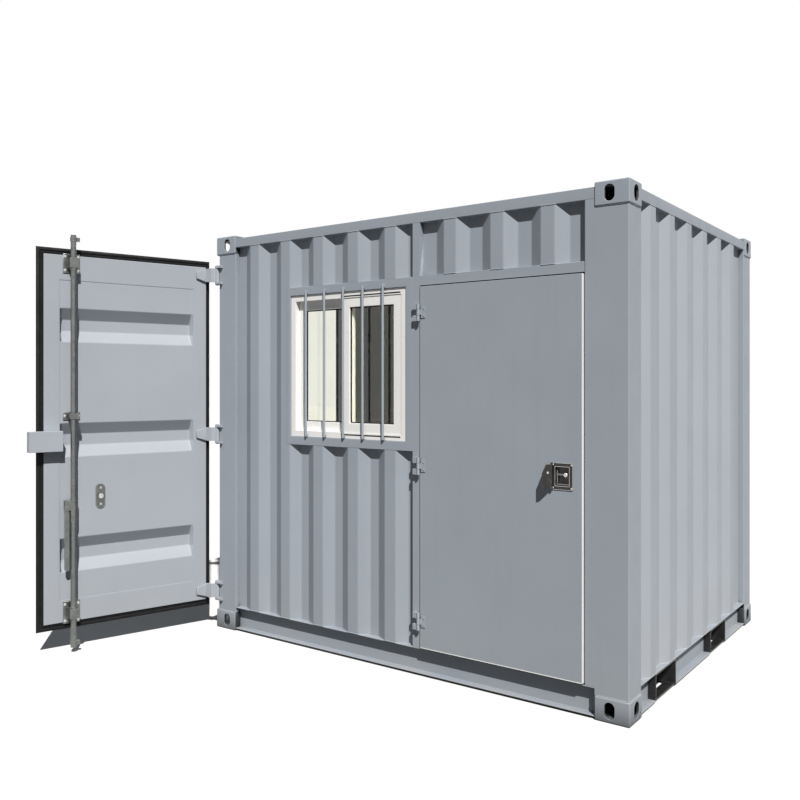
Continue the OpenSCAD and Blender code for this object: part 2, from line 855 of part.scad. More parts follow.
// The right sash runs in front of the left one
module window_sashes() {
  color(plastic) for (k = [0, 1])
    ring(sash_x[k], sash_y[k], pane_z + frame_w, sash_w, sash_t, sash_h, stile);
}

module window_glass() {
  color(glass_tint) for (k = [0, 1])
    translate([sash_x[k] + stile, sash_y[k] + sash_t / 2, pane_z + frame_w + stile])
      cube([sash_w - 2 * stile, glass_t, sash_h - 2 * stile]);
}

// Places children at the hinge pin of the front or rear cargo leaf, closed
module front_pin(angle = 0) {
  translate([x0 + pin_in, y0 + pin_in, 0]) rotate([0, 0, angle]) children();
}

module rear_pin() {
  mirror([0, 1, 0]) front_pin() children();
}

// A keeper holds the end of a locking bar: one cheek with a lip over the cam
module keeper(z) {
  h = cam_h + 3 * keeper_room;
  lip_edge = rod_y + rod_r + keeper_lip_gap;
  cheek = rod_y + cam_r + swing_gap;
  face = beam_x - (x0 + pin_in);
  lip = rod_x - cam_t / 2 - swing_gap;
  block([face - keeper_base, 2 * rod_y - cheek, z], [face, cheek + keeper_cheek, z + h]);
  block([lip - keeper_lip, cheek, z], [face, cheek + keeper_cheek, z + h]);
  block([lip - keeper_lip, lip_edge, z], [lip, cheek + keeper_cheek, z + h]);
}

module cam_keepers() {
  color(galvanised) both_sides() front_pin() {
    keeper(cam_zs[0] - keeper_room);
    keeper(cam_zs[1] - 2 * keeper_room);
  }
}

// A pair of ears welded to the post, with the pin between them
module hinge_lug(z) {
  post_face = jamb_x - pin_in;
  front = frame_in - pin_in;
  for (s = [0, 1])
    translate([0, 0, z - blade_h / 2 - lug_h - end_gap + s * (blade_h + lug_h + 2 * end_gap)]) {
      cylinder(r = barrel_r, h = lug_h);
      block([0, -barrel_r, 0], [post_face, jamb_y - pin_in, lug_h]);
      block([0, -barrel_r, 0], [post_face + lug_wrap, front, lug_h]);
    }
  translate([0, 0, z - blade_h / 2 - lug_h - end_gap - pin_end])
    cylinder(r = big_pin_r, h = blade_h + 2 * (lug_h + end_gap + pin_end));
}

module cargo_hinge_lugs() {
  color(pale_steel) both_sides() front_pin() for (z = blade_zs) hinge_lug(z);
}

// Pressed sheet of a leaf: profile along Z, three ribs sunk into the leaf
module leaf_sheet() {
  low = leaf_z + leaf_rail_low;
  high = leaf_z + leaf_h - leaf_rail_top;
  ramp = (rib_h - rib_flat) / 2;
  line = concat([[low, 0]],
    [for (z = rib_zs, p = [[-rib_h / 2, 0], [-rib_flat / 2, rib_d], [rib_flat / 2, rib_d], [rib_h / 2, 0]])
      [z + p[0], p[1]]],
    [[high, 0]]);
  n = len(line);
  translate([leaf_back + seam, leaf_end - leaf_stile, 0]) rotate([90, 0, 0])
    linear_extrude(leaf_w - 2 * leaf_stile)
      polygon(concat([for (p = line) [p[1], p[0]]],
                     [for (k = [n - 1 : -1 : 0]) [line[k][1] + sheet_t, line[k][0]]]));
}

module leaf() {
  difference() {
    block([leaf_back, leaf_u, leaf_z], [leaf_back + leaf_t, leaf_end, leaf_z + leaf_h]);
    block([leaf_back - over, leaf_u + leaf_stile, leaf_z + leaf_rail_low],
          [leaf_back + leaf_t + over, leaf_end - leaf_stile, leaf_z + leaf_h - leaf_rail_top]);
  }
  leaf_sheet();
}

// A flat rubber lip all round the leaf
module gasket(free) {
  back = leaf_back + lip_back;
  difference() {
    block([back, leaf_u - lip_u, leaf_z - lip_z], [back + lip_t, leaf_end + free, leaf_z + leaf_h + lip_z]);
    block([back - over, leaf_u, leaf_z], [back + lip_t + over, leaf_end, leaf_z + leaf_h]);
  }
}

// Forged hinge blade: a barrel on the pin and a cranked arm on the leaf's face
module blade(z) {
  difference() {
    union() {
      translate([0, 0, z - blade_h / 2]) cylinder(r = barrel_r, h = blade_h);
      intersection() {
        translate([0, 0, z - blade_h / 2]) linear_extrude(blade_h)
          polygon([[0, 0], [0, crank_u + blade_bend_in], [leaf_back - blade_t, leaf_u + blade_bend_out],
                   [leaf_back - blade_t, blade_len], [leaf_back, blade_len], [leaf_back, leaf_u],
                   [blade_t, crank_u], [blade_t, 0]]);
        translate([-barrel_r, 0, z]) rotate([0, 90, 0]) linear_extrude(leaf_back + 2 * barrel_r)
          polygon([[-blade_h / 2, -barrel_r], [-blade_h / 2, leaf_u], [-blade_tip / 2, blade_len],
                   [blade_tip / 2, blade_len], [blade_h / 2, leaf_u], [blade_h / 2, -barrel_r]]);
      }
    }
    translate([0, 0, z - blade_h / 2 - over]) cylinder(r = big_pin_r + run_fit, h = blade_h + 2 * over);
  }
}

// A guide holds the locking bar off the leaf: a base plate and a bored saddle
module bar_guide(z, plate_h, saddle_h) {
  foot = leaf_back - guide_t;
  half = rod_r + saddle_side;
  difference() {
    union() {
      block([foot, rod_y - guide_half, z - plate_h / 2], [leaf_back, rod_y + guide_half, z + plate_h / 2]);
      block([rod_x - rod_r - saddle_front, rod_y - half, z - saddle_h / 2],
            [foot + over, rod_y + half, z + saddle_h / 2]);
    }
    translate([rod_x, rod_y, z - plate_h / 2 - over])
      cylinder(r = rod_r + run_fit, h = plate_h + 2 * over);
  }
}

// Oval catch plate for the handle with a lock barrel between two bosses
module handle_catch() {
  face = leaf_back + seam - guide_t;
  translate([face, rod_y - catch_in, handle_z + catch_up]) rotate([0, 90, 0]) {
    slot_x(catch_h, catch_w, guide_t);
    translate([0, 0, -catch_barrel]) cylinder(r = catch_barrel_r, h = catch_barrel + over);
    for (s = [-1, 1])
      translate([s * catch_boss_pitch / 2, 0, -guide_t]) cylinder(r = catch_boss_r, h = guide_t + over);
  }
}

module bar_guides() {
  bar_guide(guide_zs[0], guide_low_h, saddle_h);
  bar_guide(guide_zs[1], guide_mid_h, saddle_h / 2);
  bar_guide(guide_zs[2], guide_high_h, saddle_h);
  handle_catch();
}

// Lock box: a folded steel hood over the free edge, open at the bottom
module lock_hood() {
  lo = leaf_end - box_on;
  hi = leaf_end + box_off;
  z = leaf_z + box_up;
  face = leaf_back - box_d;
  difference() {
    block([face, lo, z], [leaf_back, hi, z + box_h]);
    block([face + box_t, lo + box_t, z - over], [leaf_back + over, hi - box_t, z + box_h - box_t]);
    block([leaf_back - swing_gap, leaf_end, z - over], [leaf_back + over, hi + over, z + box_h + over]);
  }
}

// Cam on the end of a bar; it reaches towards the hinge when the bar is unlocked
module cam(z) {
  nose = cam_r - cam_t / 2;
  translate([rod_x, rod_y, z]) {
    cylinder(r = cam_boss_r, h = cam_h);
    translate([-cam_t / 2, -nose, 0]) cube([cam_t, nose, cam_h]);
    translate([0, -nose, 0]) cylinder(d = cam_t, h = cam_h);
  }
}

// A collar keeps the bar from sliding through its guide
module bar_collar(z) {
  translate([rod_x, rod_y, z]) cylinder(r = rod_r + collar_t, h = collar_h);
}

module locking_bar() {
  inner = handle_t / 2 + end_gap;
  outer = inner + fork_t;
  fork_low = handle_z - fork_below;
  fork_high = handle_z + handle_drop - end_gap;
  fork_end = rod_y + handle_u + fork_beyond;
  difference() {
    union() {
      translate([rod_x, rod_y, rod_z]) cylinder(r = rod_r, h = rod_end - rod_z);
      translate([rod_x, rod_y, leaf_z + hub_z]) cylinder(r = rod_r + hub_t, h = hub_h);
      for (z = cam_zs)
        cam(z);
      bar_collar(guide_zs[0] + saddle_h / 2 + end_gap);
      bar_collar(guide_zs[2] - saddle_h / 2 - end_gap - collar_h);
      block([rod_x - outer, rod_y, fork_low], [rod_x + outer, fork_end, fork_high]);
    }
    block([rod_x - inner, rod_y + rod_r + hub_t + run_fit, fork_low - over],
          [rod_x + inner, fork_end + over, fork_high - fork_t]);
  }
  translate([rod_x - outer - pin_head, rod_y + handle_u, handle_z]) rotate([0, 90, 0])
    cylinder(r = handle_pin_r, h = 2 * (outer + pin_head));
}

// The handle hangs from its pin beside the bar
module handle() {
  translate([rod_x - handle_t / 2, rod_y + handle_u, handle_z]) rotate([0, 90, 0]) difference() {
    union() {
      cylinder(r = handle_w / 2, h = handle_t);
      translate([0, -handle_w / 2, 0]) cube([handle_len - handle_w / 2, handle_w, handle_t]);
      translate([handle_len - handle_w / 2, 0, 0]) cylinder(r = handle_w / 2, h = handle_t);
    }
    translate([0, 0, -over]) cylinder(r = handle_pin_r + run_fit, h = handle_t + 2 * over);
  }
}

module front_leaf() {
  color(pale_steel) front_pin(leaf_open) leaf();
}

module front_gasket() {
  color(rubber) front_pin(leaf_open) gasket(lip_free);
}

module front_blades() {
  color(pale_steel) front_pin(leaf_open) for (z = blade_zs) blade(z);
}

module front_bar_guides() {
  color(galvanised) front_pin(leaf_open) bar_guides();
}

module lock_box() {
  color(steel) front_pin(leaf_open) lock_hood();
}

module front_locking_bar() {
  color(galvanised) front_pin(leaf_open) locking_bar();
}

module front_handle() {
  color(galvanised) front_pin(leaf_open) handle();
}

module rear_leaf() {
  color(pale_steel) rear_pin() leaf();
}

module rear_gasket() {
  color(rubber) rear_pin() gasket(lip_rear);
}

module rear_blades() {
  color(pale_steel) rear_pin() for (z = blade_zs) blade(z);
}

module rear_bar_guides() {
  color(galvanised) rear_pin() bar_guides();
}

module rear_locking_bar() {
  color(galvanised) rear_pin() locking_bar();
}

module rear_handle() {
  color(galvanised) rear_pin() handle();
}

latch_x = door_right - latch_edge - latch_w;
latch_z = door_z + latch_up - latch_h / 2;
dish_w = latch_w - 2 * dish_side;
dish_h = latch_h - 2 * dish_end;
flap_x = latch_x + flap_pin_in;
flap_y = door_face - latch_t - flap_pin_out;

module door_leaf() {
  color(steel) difference() {
    block([door_left, door_face, door_z], [door_right, door_face + door_t, door_z + door_h]);
    translate([latch_x + dish_side, 0, latch_z + dish_end])
      block([-seat, door_face - over, -seat], [dish_w + seat, door_face + dish_d + seat, dish_h + seat]);
  }
}

// Fixed half of each hinge: a bracket on the upright, two knuckles and the pin
module door_hinge_butts() {
  third = hinge_h / 3;
  half = hinge_plate / 2;
  web = knuckle_r + knuckle_gap;
  color(steel) for (z = hinge_zs) {
    translate([hinge_x, hinge_y, z - hinge_h / 2]) {
      cylinder(r = pin_r, h = hinge_h);
      for (s = [0, 1])
        translate([0, 0, s * 2 * third]) {
          cylinder(r = knuckle_r, h = third);
          block([-butt_w, -half, 0], [0, half, third]);
          block([-butt_w, -half, 0], [-web, yf - hinge_y, third]);
        }
    }
  }
}

// Moving half of each hinge: a middle knuckle on a plate screwed to the leaf
module door_hinge_flaps() {
  third = hinge_h / 3;
  half = hinge_plate / 2;
  web = knuckle_r + knuckle_gap;
  plate = door_face - hinge_y;
  low = third + end_gap;
  high = 2 * third - end_gap;
  color(steel) for (z = hinge_zs) {
    translate([hinge_x, hinge_y, z - hinge_h / 2]) difference() {
      union() {
        translate([0, 0, low]) cylinder(r = knuckle_r, h = high - low);
        block([0, -half, low], [web + half, half, high]);
        block([web, -half, low], [web + hinge_plate, plate, high]);
        block([web, plate - hinge_foot, third / 2], [hinge_reach, plate, 2.5 * third]);
      }
      translate([0, 0, -over]) cylinder(r = pin_r + run_fit, h = hinge_h + 2 * over);
    }
  }
}

// Ears on the latch plate and the pin that the flap turns on
module flap_ears() {
  for (s = [0, 1])
    translate([flap_x, flap_y, latch_z + s * (latch_h - ear_h)]) {
      cylinder(r = flap_knuckle_r, h = ear_h);
      block([over - flap_knuckle_r, 0, 0], [flap_knuckle_r - over, flap_pin_out + seat, ear_h]);
    }
  translate([flap_x, flap_y, latch_z]) cylinder(r = flap_pin_r, h = latch_h);
}

// Latch plate with a sunk dish, in which the lock barrel stands
module latch_dish() {
  hollow = dish_side + pan;
  barrel_x = latch_x + latch_w - hollow - 2 * barrel_lock_r;
  color(black_steel) {
    difference() {
      union() {
        block([latch_x, door_face - latch_t, latch_z], [latch_x + latch_w, door_face, latch_z + latch_h]);
        translate([latch_x + dish_side, door_face - over, latch_z + dish_end])
          cube([dish_w, dish_d + over, dish_h]);
      }
      translate([latch_x + hollow, door_face - latch_t - over, latch_z + dish_end + pan])
        cube([dish_w - 2 * pan, dish_d + latch_t + over - pan, dish_h - 2 * pan]);
    }
    translate([barrel_x, door_face + dish_d - pan / 2, latch_z + latch_h / 2])
      rotate([90, 0, 0]) cylinder(r = barrel_lock_r, h = dish_d - 2 * pan);
    flap_ears();
  }
}

// The flap stands open, turned about the pin at the left of the latch
module latch_flap() {
  h = latch_h - 2 * (ear_h + end_gap);
  color(black_steel) translate([flap_x, flap_y, latch_z + ear_h + end_gap]) rotate([0, 0, -flap_open])
    difference() {
      union() {
        cylinder(r = flap_knuckle_r, h = h);
        rotate([90, 0, 0]) translate([0, 0, -pan]) linear_extrude(2 * pan)
          polygon([[0, 0], [flap_w - flap_corner, 0], [flap_w, flap_corner],
                   [flap_w, h - flap_slope_h], [flap_w - flap_slope_w, h], [0, h]]);
      }
      translate([0, 0, -over]) cylinder(r = flap_pin_r + run_fit, h = h + 2 * over);
    }
}

bottom_castings();
top_castings();
front_right_post();
back_right_post();
door_end_posts();
bottom_side_rails();
end_bottom_rail();
door_sill();
top_side_rails();
end_top_rail();
door_header();
floor_beams();
forklift_pockets();
floor_boards();
roof_sheet();
window_wall();
lintel_panel();
back_wall();
end_wall();
personnel_doorway();
window_surround();
window_frame();
window_sashes();
window_glass();
cam_keepers();
cargo_hinge_lugs();
door_hinge_butts();
front_leaf();
front_gasket();
front_blades();
front_bar_guides();
lock_box();
front_locking_bar();
front_handle();
rear_leaf();
rear_gasket();
rear_blades();
rear_bar_guides();
rear_locking_bar();
rear_handle();
door_leaf();
door_hinge_flaps();
latch_dish();
latch_flap();
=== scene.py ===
"""Looks of the container house: finishes, hardware details, floor, light and camera.

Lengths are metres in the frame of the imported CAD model. Places come from the CAD nodes' boxes
and corners.
"""

import json
import math
import random
from functools import cached_property

import bmesh
import bpy
from mathutils import Matrix, Vector


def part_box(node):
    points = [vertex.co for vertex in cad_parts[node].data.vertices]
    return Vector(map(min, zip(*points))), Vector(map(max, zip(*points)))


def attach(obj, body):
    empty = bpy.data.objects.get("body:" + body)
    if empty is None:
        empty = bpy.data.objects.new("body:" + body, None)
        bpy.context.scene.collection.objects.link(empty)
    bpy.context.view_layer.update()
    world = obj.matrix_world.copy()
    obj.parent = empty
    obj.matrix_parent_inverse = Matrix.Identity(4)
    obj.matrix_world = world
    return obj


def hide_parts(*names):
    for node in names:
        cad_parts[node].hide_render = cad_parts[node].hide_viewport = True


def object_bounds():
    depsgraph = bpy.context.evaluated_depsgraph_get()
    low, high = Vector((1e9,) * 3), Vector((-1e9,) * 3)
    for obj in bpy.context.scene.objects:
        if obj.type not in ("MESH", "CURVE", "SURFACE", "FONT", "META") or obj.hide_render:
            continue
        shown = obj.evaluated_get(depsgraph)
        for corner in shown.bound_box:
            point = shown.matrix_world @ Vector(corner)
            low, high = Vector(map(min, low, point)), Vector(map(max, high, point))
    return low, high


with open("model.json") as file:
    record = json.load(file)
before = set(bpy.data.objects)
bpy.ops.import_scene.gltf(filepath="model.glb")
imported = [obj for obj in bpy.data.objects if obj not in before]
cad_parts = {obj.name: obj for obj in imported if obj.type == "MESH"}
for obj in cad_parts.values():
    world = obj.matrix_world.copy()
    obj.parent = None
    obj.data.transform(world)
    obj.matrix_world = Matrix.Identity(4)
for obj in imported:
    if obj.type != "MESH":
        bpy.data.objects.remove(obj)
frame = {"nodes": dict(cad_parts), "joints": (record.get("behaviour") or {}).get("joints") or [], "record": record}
cad_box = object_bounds()

NODES = frame["nodes"]
JOINTS = {joint["name"]: joint for joint in frame["joints"]}
MM = 0.001
MERGE = 0.02 * MM  # corners nearer than this are joined
LEVEL = 0.1 * MM  # corners this near to a level lie on it
FLAT = math.radians(1.0)  # a fold of less than this is flat
SHARP = math.radians(15.0)  # an edge turned by more than this can be rounded
UP = Vector((0.0, 0.0, 1.0))
OFF_WALL = Vector((0.0, -1.0, 0.0))  # out of the wall with the window
OFF_LEAF = Vector((-1.0, 0.0, 0.0))  # out of a closed cargo leaf


# ---------------------------------------------------------------- node helpers

class Graph:
    """The node tree of a material or a world, with a short method for each kind of node that is used."""

    def __init__(self, owner):
        owner.use_nodes = True
        self.owner = owner
        self.tree = owner.node_tree
        self.tree.nodes.clear()

    @cached_property
    def place(self):
        return self.add("ShaderNodeTexCoord").outputs["Object"]

    def add(self, kind, **settings):
        node = self.tree.nodes.new(kind)
        for key, value in settings.items():
            setattr(node, key, value)
        return node

    def put(self, socket, value):
        """Links value if it is an output of another node, or else sets it on the socket."""
        if isinstance(value, bpy.types.NodeSocket):
            self.tree.links.new(value, socket)
        else:
            socket.default_value = value

    def stretched(self, scale):
        mapping = self.add("ShaderNodeMapping")
        self.put(mapping.inputs["Vector"], self.place)
        self.put(mapping.inputs["Scale"], scale)
        return mapping.outputs["Vector"]

    def noise(self, scale, detail=3.0, rough=0.5, stretch=None):
        node = self.add("ShaderNodeTexNoise")
        self.put(node.inputs["Vector"], self.stretched(stretch) if stretch else self.place)
        self.put(node.inputs["Scale"], scale)
        self.put(node.inputs["Detail"], detail)
        self.put(node.inputs["Roughness"], rough)
        return node.outputs["Fac"]

    def cells(self, scale):
        node = self.add("ShaderNodeTexVoronoi")
        self.put(node.inputs["Vector"], self.place)
        self.put(node.inputs["Scale"], scale)
        return node.outputs["Color"]

    def span(self, value, low, high, to_low=0.0, to_high=1.0):
        """Maps low..high of value to to_low..to_high, and clamps it."""
        node = self.add("ShaderNodeMapRange", clamp=True)
        for key, number in zip(("Value", "From Min", "From Max", "To Min", "To Max"),
                               (value, low, high, to_low, to_high)):
            self.put(node.inputs[key], number)
        return node.outputs["Result"]

    def math(self, operation, a, b=0.0):
        node = self.add("ShaderNodeMath", operation=operation)
        self.put(node.inputs[0], a)
        self.put(node.inputs[1], b)
        return node.outputs[0]

    def mix(self, factor, a, b):
        """A colour that goes from a to b as factor goes from 0 to 1."""
        node = self.add("ShaderNodeMix", data_type="RGBA")
        self.put(node.inputs["Factor"], factor)
        self.put(node.inputs[6], a)
        self.put(node.inputs[7], b)
        return node.outputs[2]

    def coordinate(self, axis):
        split = self.add("ShaderNodeSeparateXYZ")
        self.put(split.inputs[0], self.place)
        return split.outputs[axis]

    def seen(self):
        """1 for rays of the camera, off gloss or through glass, and 0 for the light that falls on things."""
        path = self.add("ShaderNodeLightPath")
        plain = self.math("MAXIMUM", path.outputs["Is Camera Ray"], path.outputs["Is Glossy Ray"])
        return self.math("MAXIMUM", plain, path.outputs["Is Transmission Ray"])

    def edges(self, radius):
        """1 within radius of an edge and 0 on the flats."""
        bevel = self.add("ShaderNodeBevel", samples=4)
        self.put(bevel.inputs["Radius"], radius)
        flat = self.add("ShaderNodeNewGeometry").outputs["Normal"]
        dot = self.add("ShaderNodeVectorMath", operation="DOT_PRODUCT")
        self.put(dot.inputs[0], bevel.outputs["Normal"])
        self.put(dot.inputs[1], flat)
        return self.span(dot.outputs["Value"], 0.995, 0.9)

    def cavity(self, reach, low, high):
        """0 deep in a hollow and 1 on open surfaces, from how much is closed in within reach."""
        node = self.add("ShaderNodeAmbientOcclusion", samples=6)
        self.put(node.inputs["Distance"], reach)
        return self.span(node.outputs["AO"], low, high)

    def bump(self, height, depth, strength=1.0, over=None):
        node = self.add("ShaderNodeBump")
        self.put(node.inputs["Height"], height)
        self.put(node.inputs["Distance"], depth)
        self.put(node.inputs["Strength"], strength)
        if over is not None:
            self.put(node.inputs["Normal"], over)
        return node.outputs["Normal"]

    def background(self, colour, strength):
        node = self.add("ShaderNodeBackground")
        self.put(node.inputs["Color"], colour)
        self.put(node.inputs["Strength"], strength)
        return node.outputs[0]

    def blend(self, factor, a, b):
        """A shader that goes from a to b as factor goes from 0 to 1."""
        node = self.add("ShaderNodeMixShader")
        for socket, value in zip(node.inputs, (factor, a, b)):
            self.put(socket, value)
        return node.outputs[0]

    def end(self, shader, kind="ShaderNodeOutputMaterial"):
        self.put(self.add(kind).inputs["Surface"], shader)
        return self.owner

    def surface(self, thin=None, **sockets):
        """Ends the graph in a Principled shader; underscores in the names stand for spaces.

        thin is the colour of the light that a pane lets through to what stands behind it.
        """
        shader = self.add("ShaderNodeBsdfPrincipled")
        for key, value in sockets.items():
            self.put(shader.inputs[key.replace("_", " ")], value)
        result = shader.outputs["BSDF"]
        if thin:
            clear = self.add("ShaderNodeBsdfTransparent")
            self.put(clear.inputs["Color"], thin)
            shadow = self.add("ShaderNodeLightPath").outputs["Is Shadow Ray"]
            result = self.blend(shadow, result, clear.outputs[0])
        return self.end(result)


def material_graph(name):
    return Graph(bpy.data.materials.new(name))


def shade(colour, factor):
    """A colour made lighter or darker, with its alpha."""
    return tuple(min(1.0, part * factor) for part in colour) + (1.0,)


# ------------------------------------------------------------------- materials

DUST = (0.42, 0.40, 0.36, 1.0)


def paint(name, colour, streaks=1.0, grime=1.0, hollow=(0.14, 0.36)):
    """Semi-gloss steel paint with faint streaks, orange peel, dust low down and worn edges, and painted
    shade that darkens its hollows, recesses and inner corners.

    hollow is the range of openness over which the painted shade of a hollow fades out.
    """
    g = material_graph(name)
    broad = g.noise(1.7, 4.0, 0.6)
    tone = g.mix(g.span(broad, 0.3, 0.7), shade(colour, 0.965), shade(colour, 1.03))
    runs = g.noise(3.0, 5.0, 0.65, stretch=(9.0, 9.0, 0.35))
    tone = g.mix(g.span(runs, 0.52, 0.78, 0.0, 0.16 * streaks), tone, shade(colour, 0.78))
    speck = g.noise(140.0, 2.0)
    tone = g.mix(g.span(speck, 0.66, 0.75, 0.0, 0.10), tone, shade(colour, 0.7))
    near_floor = g.span(g.coordinate("Z"), 0.02, 0.5, 0.30 * grime, 0.0)
    dust = g.math("MULTIPLY", near_floor, g.span(broad, 0.3, 0.7))
    tone = g.mix(dust, tone, DUST)
    worn = g.math("MULTIPLY", g.edges(0.0025), g.span(g.noise(22.0, 3.0), 0.5, 0.7, 0.12, 0.55))
    tone = g.mix(worn, tone, shade(colour, 1.28))
    gloss = g.span(g.noise(11.0, 4.0), 0.3, 0.7, 0.42, 0.54)
    gloss = g.math("ADD", gloss, g.math("MULTIPLY", dust, 0.6))
    # painted shade: the colour goes almost black in hollows, recesses and inner corners, where shade falls
    tone = g.mix(g.cavity(0.2, *hollow), shade(colour, 0.04), tone)
    dents = g.bump(g.noise(2.6, 2.0), 0.006, 0.16)
    skin = g.bump(g.noise(310.0, 2.0), 0.0004, 0.28, over=dents)
    return g.surface(Base_Color=tone, Roughness=gloss, Normal=skin, Specular_IOR_Level=0.2)


def galvanised(name, colour):
    """Zinc with a spangle of crystals, pale bloom, dark stains and edges worn bright, and with painted
    shade in its crevices and tight corners.
    """
    g = material_graph(name)
    crystal = g.cells(95.0)
    tone = g.mix(g.mix(0.5, crystal, (0.5, 0.5, 0.5, 1.0)), shade(colour, 0.84), shade(colour, 1.08))
    bloom = g.span(g.noise(16.0, 5.0, 0.65), 0.48, 0.7)
    tone = g.mix(g.math("MULTIPLY", bloom, 0.16), tone, (0.46, 0.47, 0.46, 1.0))
    dark = g.span(g.noise(45.0, 4.0), 0.55, 0.72, 0.0, 0.4)
    tone = g.mix(dark, tone, shade(colour, 0.45))
    worn = g.math("MULTIPLY", g.edges(0.002), 0.85)
    tone = g.mix(worn, tone, (0.80, 0.80, 0.77, 1.0))
    # painted shade: the zinc goes dark in crevices and tight corners, where shade falls
    tone = g.mix(g.cavity(0.03, 0.35, 0.75), shade(colour, 0.25), tone)
    gloss = g.span(g.noise(60.0, 3.0), 0.3, 0.7, 0.27, 0.48)
    pitted = g.bump(g.noise(180.0, 3.0), 0.0006, 0.35)
    return g.surface(Base_Color=tone, Metallic=0.85, Roughness=gloss, Normal=pitted)


def rubber(name, colour):
    """Matt extruded rubber with fine drawn lines and a little dust."""
    g = material_graph(name)
    tone = g.mix(g.span(g.noise(6.0, 4.0), 0.35, 0.7), shade(colour, 0.8), shade(colour, 1.5))
    dust = g.span(g.noise(30.0, 5.0, 0.7), 0.55, 0.75, 0.0, 0.18)
    tone = g.mix(dust, tone, (0.10, 0.10, 0.095, 1.0))
    gloss = g.span(g.noise(25.0, 3.0), 0.3, 0.7, 0.52, 0.74)
    grain = g.bump(g.noise(420.0, 2.0), 0.0003, 0.4)
    return g.surface(Base_Color=tone, Roughness=gloss, Normal=grain, Specular_IOR_Level=0.15)


def black_steel(name, colour):
    """Black painted steel, scuffed to grey at the edges."""
    g = material_graph(name)
    tone = g.mix(g.span(g.noise(9.0, 4.0), 0.3, 0.7), shade(colour, 0.8), shade(colour, 1.4))
    scuff = g.math("MULTIPLY", g.edges(0.002), g.span(g.noise(50.0, 3.0), 0.4, 0.65))
    tone = g.mix(scuff, tone, (0.25, 0.25, 0.26, 1.0))
    dust = g.span(g.noise(14.0, 5.0, 0.7), 0.55, 0.8, 0.0, 0.12)
    tone = g.mix(dust, tone, DUST)
    gloss = g.span(g.noise(20.0, 3.0), 0.3, 0.7, 0.34, 0.55)
    grain = g.bump(g.noise(260.0, 2.0), 0.0004, 0.3)
    return g.surface(Base_Color=tone, Roughness=gloss, Normal=grain)


def white_plastic(name, colour):
    """Extruded window plastic with faint marks and drawn lines."""
    g = material_graph(name)
    tone = g.mix(g.span(g.noise(4.0, 4.0), 0.35, 0.7), shade(colour, 0.97), shade(colour, 1.02))
    marks = g.span(g.noise(38.0, 5.0, 0.7), 0.58, 0.78, 0.0, 0.14)
    tone = g.mix(marks, tone, (0.55, 0.54, 0.50, 1.0))
    gloss = g.span(g.noise(30.0, 3.0), 0.3, 0.7, 0.24, 0.38)
    drawn = g.bump(g.noise(90.0, 2.0, 0.5, stretch=(1.0, 1.0, 0.1)), 0.0003, 0.2)
    return g.surface(Base_Color=tone, Roughness=gloss, Normal=drawn, Specular_IOR_Level=0.5)


def window_glass(name):
    """Clear float glass, faintly yellow-green, with smears and slow waves."""
    g = material_graph(name)
    smears = g.noise(5.0, 5.0, 0.6, stretch=(1.0, 1.0, 0.45))
    tone = g.mix(g.span(smears, 0.45, 0.75), (0.82, 0.83, 0.73, 1.0), (0.73, 0.74, 0.64, 1.0))
    gloss = g.span(g.noise(14.0, 5.0, 0.7), 0.5, 0.8, 0.01, 0.09)
    waves = g.bump(g.noise(3.5, 1.0), 0.002, 0.12)
    return g.surface(thin=(0.90, 0.92, 0.90, 1.0), Base_Color=tone, Roughness=gloss, Normal=waves,
                     Transmission_Weight=1.0, IOR=1.5)


def plywood(name, colour, board):
    """Varnished floor plywood: grain along X, dark seams every board length, scuffs."""
    g = material_graph(name)
    grain = g.noise(5.0, 8.0, 0.7, stretch=(0.6, 9.0, 1.0))
    tone = g.mix(g.span(grain, 0.3, 0.72), shade(colour, 0.7), shade(colour, 1.25))
    fibres = g.noise(40.0, 4.0, 0.6, stretch=(0.5, 12.0, 1.0))
    tone = g.mix(g.span(fibres, 0.5, 0.7, 0.0, 0.3), tone, shade(colour, 0.5))
    from_seam = g.math("PINGPONG", g.coordinate("X"), board / 2)
    seam = g.span(from_seam, 0.0, 0.003, 1.0, 0.0)
    tone = g.mix(g.math("MULTIPLY", seam, 0.85), tone, (0.03, 0.02, 0.015, 1.0))
    scuffs = g.span(g.noise(7.0, 5.0, 0.7), 0.52, 0.72, 0.0, 0.35)
    tone = g.mix(scuffs, tone, DUST)
    gloss = g.span(g.noise(13.0, 4.0), 0.3, 0.7, 0.38, 0.62)
    relief = g.bump(fibres, 0.0005, 0.4)
    relief = g.bump(seam, -0.003, 0.8, over=relief)
    return g.surface(Base_Color=tone, Roughness=gloss, Normal=relief)


GREY = (0.330, 0.368, 0.415)
# painted light: the lighter copy of GREY below stands for the sun on the end wall and on the cargo leaves with
# their fittings, which are the same grey paint
SUNLIT_GREY = (0.384, 0.414, 0.455)
FINISH = {
    "painted_steel": paint("painted_steel", GREY),
    # the pale_painted_steel finish is the grey paint with painted light
    "pale_painted_steel": paint("pale_painted_steel", SUNLIT_GREY, streaks=0.6),
    "galvanised_steel": galvanised("galvanised_steel", (0.17, 0.18, 0.175)),
    "seal_rubber": rubber("seal_rubber", (0.010, 0.010, 0.011)),
    "black_steel": black_steel("black_steel", (0.012, 0.012, 0.013)),
    "white_plastic": white_plastic("white_plastic", (0.885, 0.88, 0.86)),
    "window_pane": window_glass("window_pane"),
    "floor_ply": plywood("floor_ply", (0.36, 0.24, 0.14), board=0.8),
}
BRIGHT_ZINC = galvanised("bright_zinc", (0.62, 0.62, 0.60))
LATCH_STEEL = black_steel("latch_steel", (0.012, 0.010, 0.009))
# painted shade: the castings' paint darkens their holes far more strongly, so that they show black
CASTING_SHADED_HOLLOWS = paint("casting_paint_shaded_hollows", GREY, hollow=(0.42, 0.72))
LINING = paint("lining_paint", (0.80, 0.78, 0.64), streaks=0.4, grime=0.4)


# -------------------------------------------------------------------- geometry

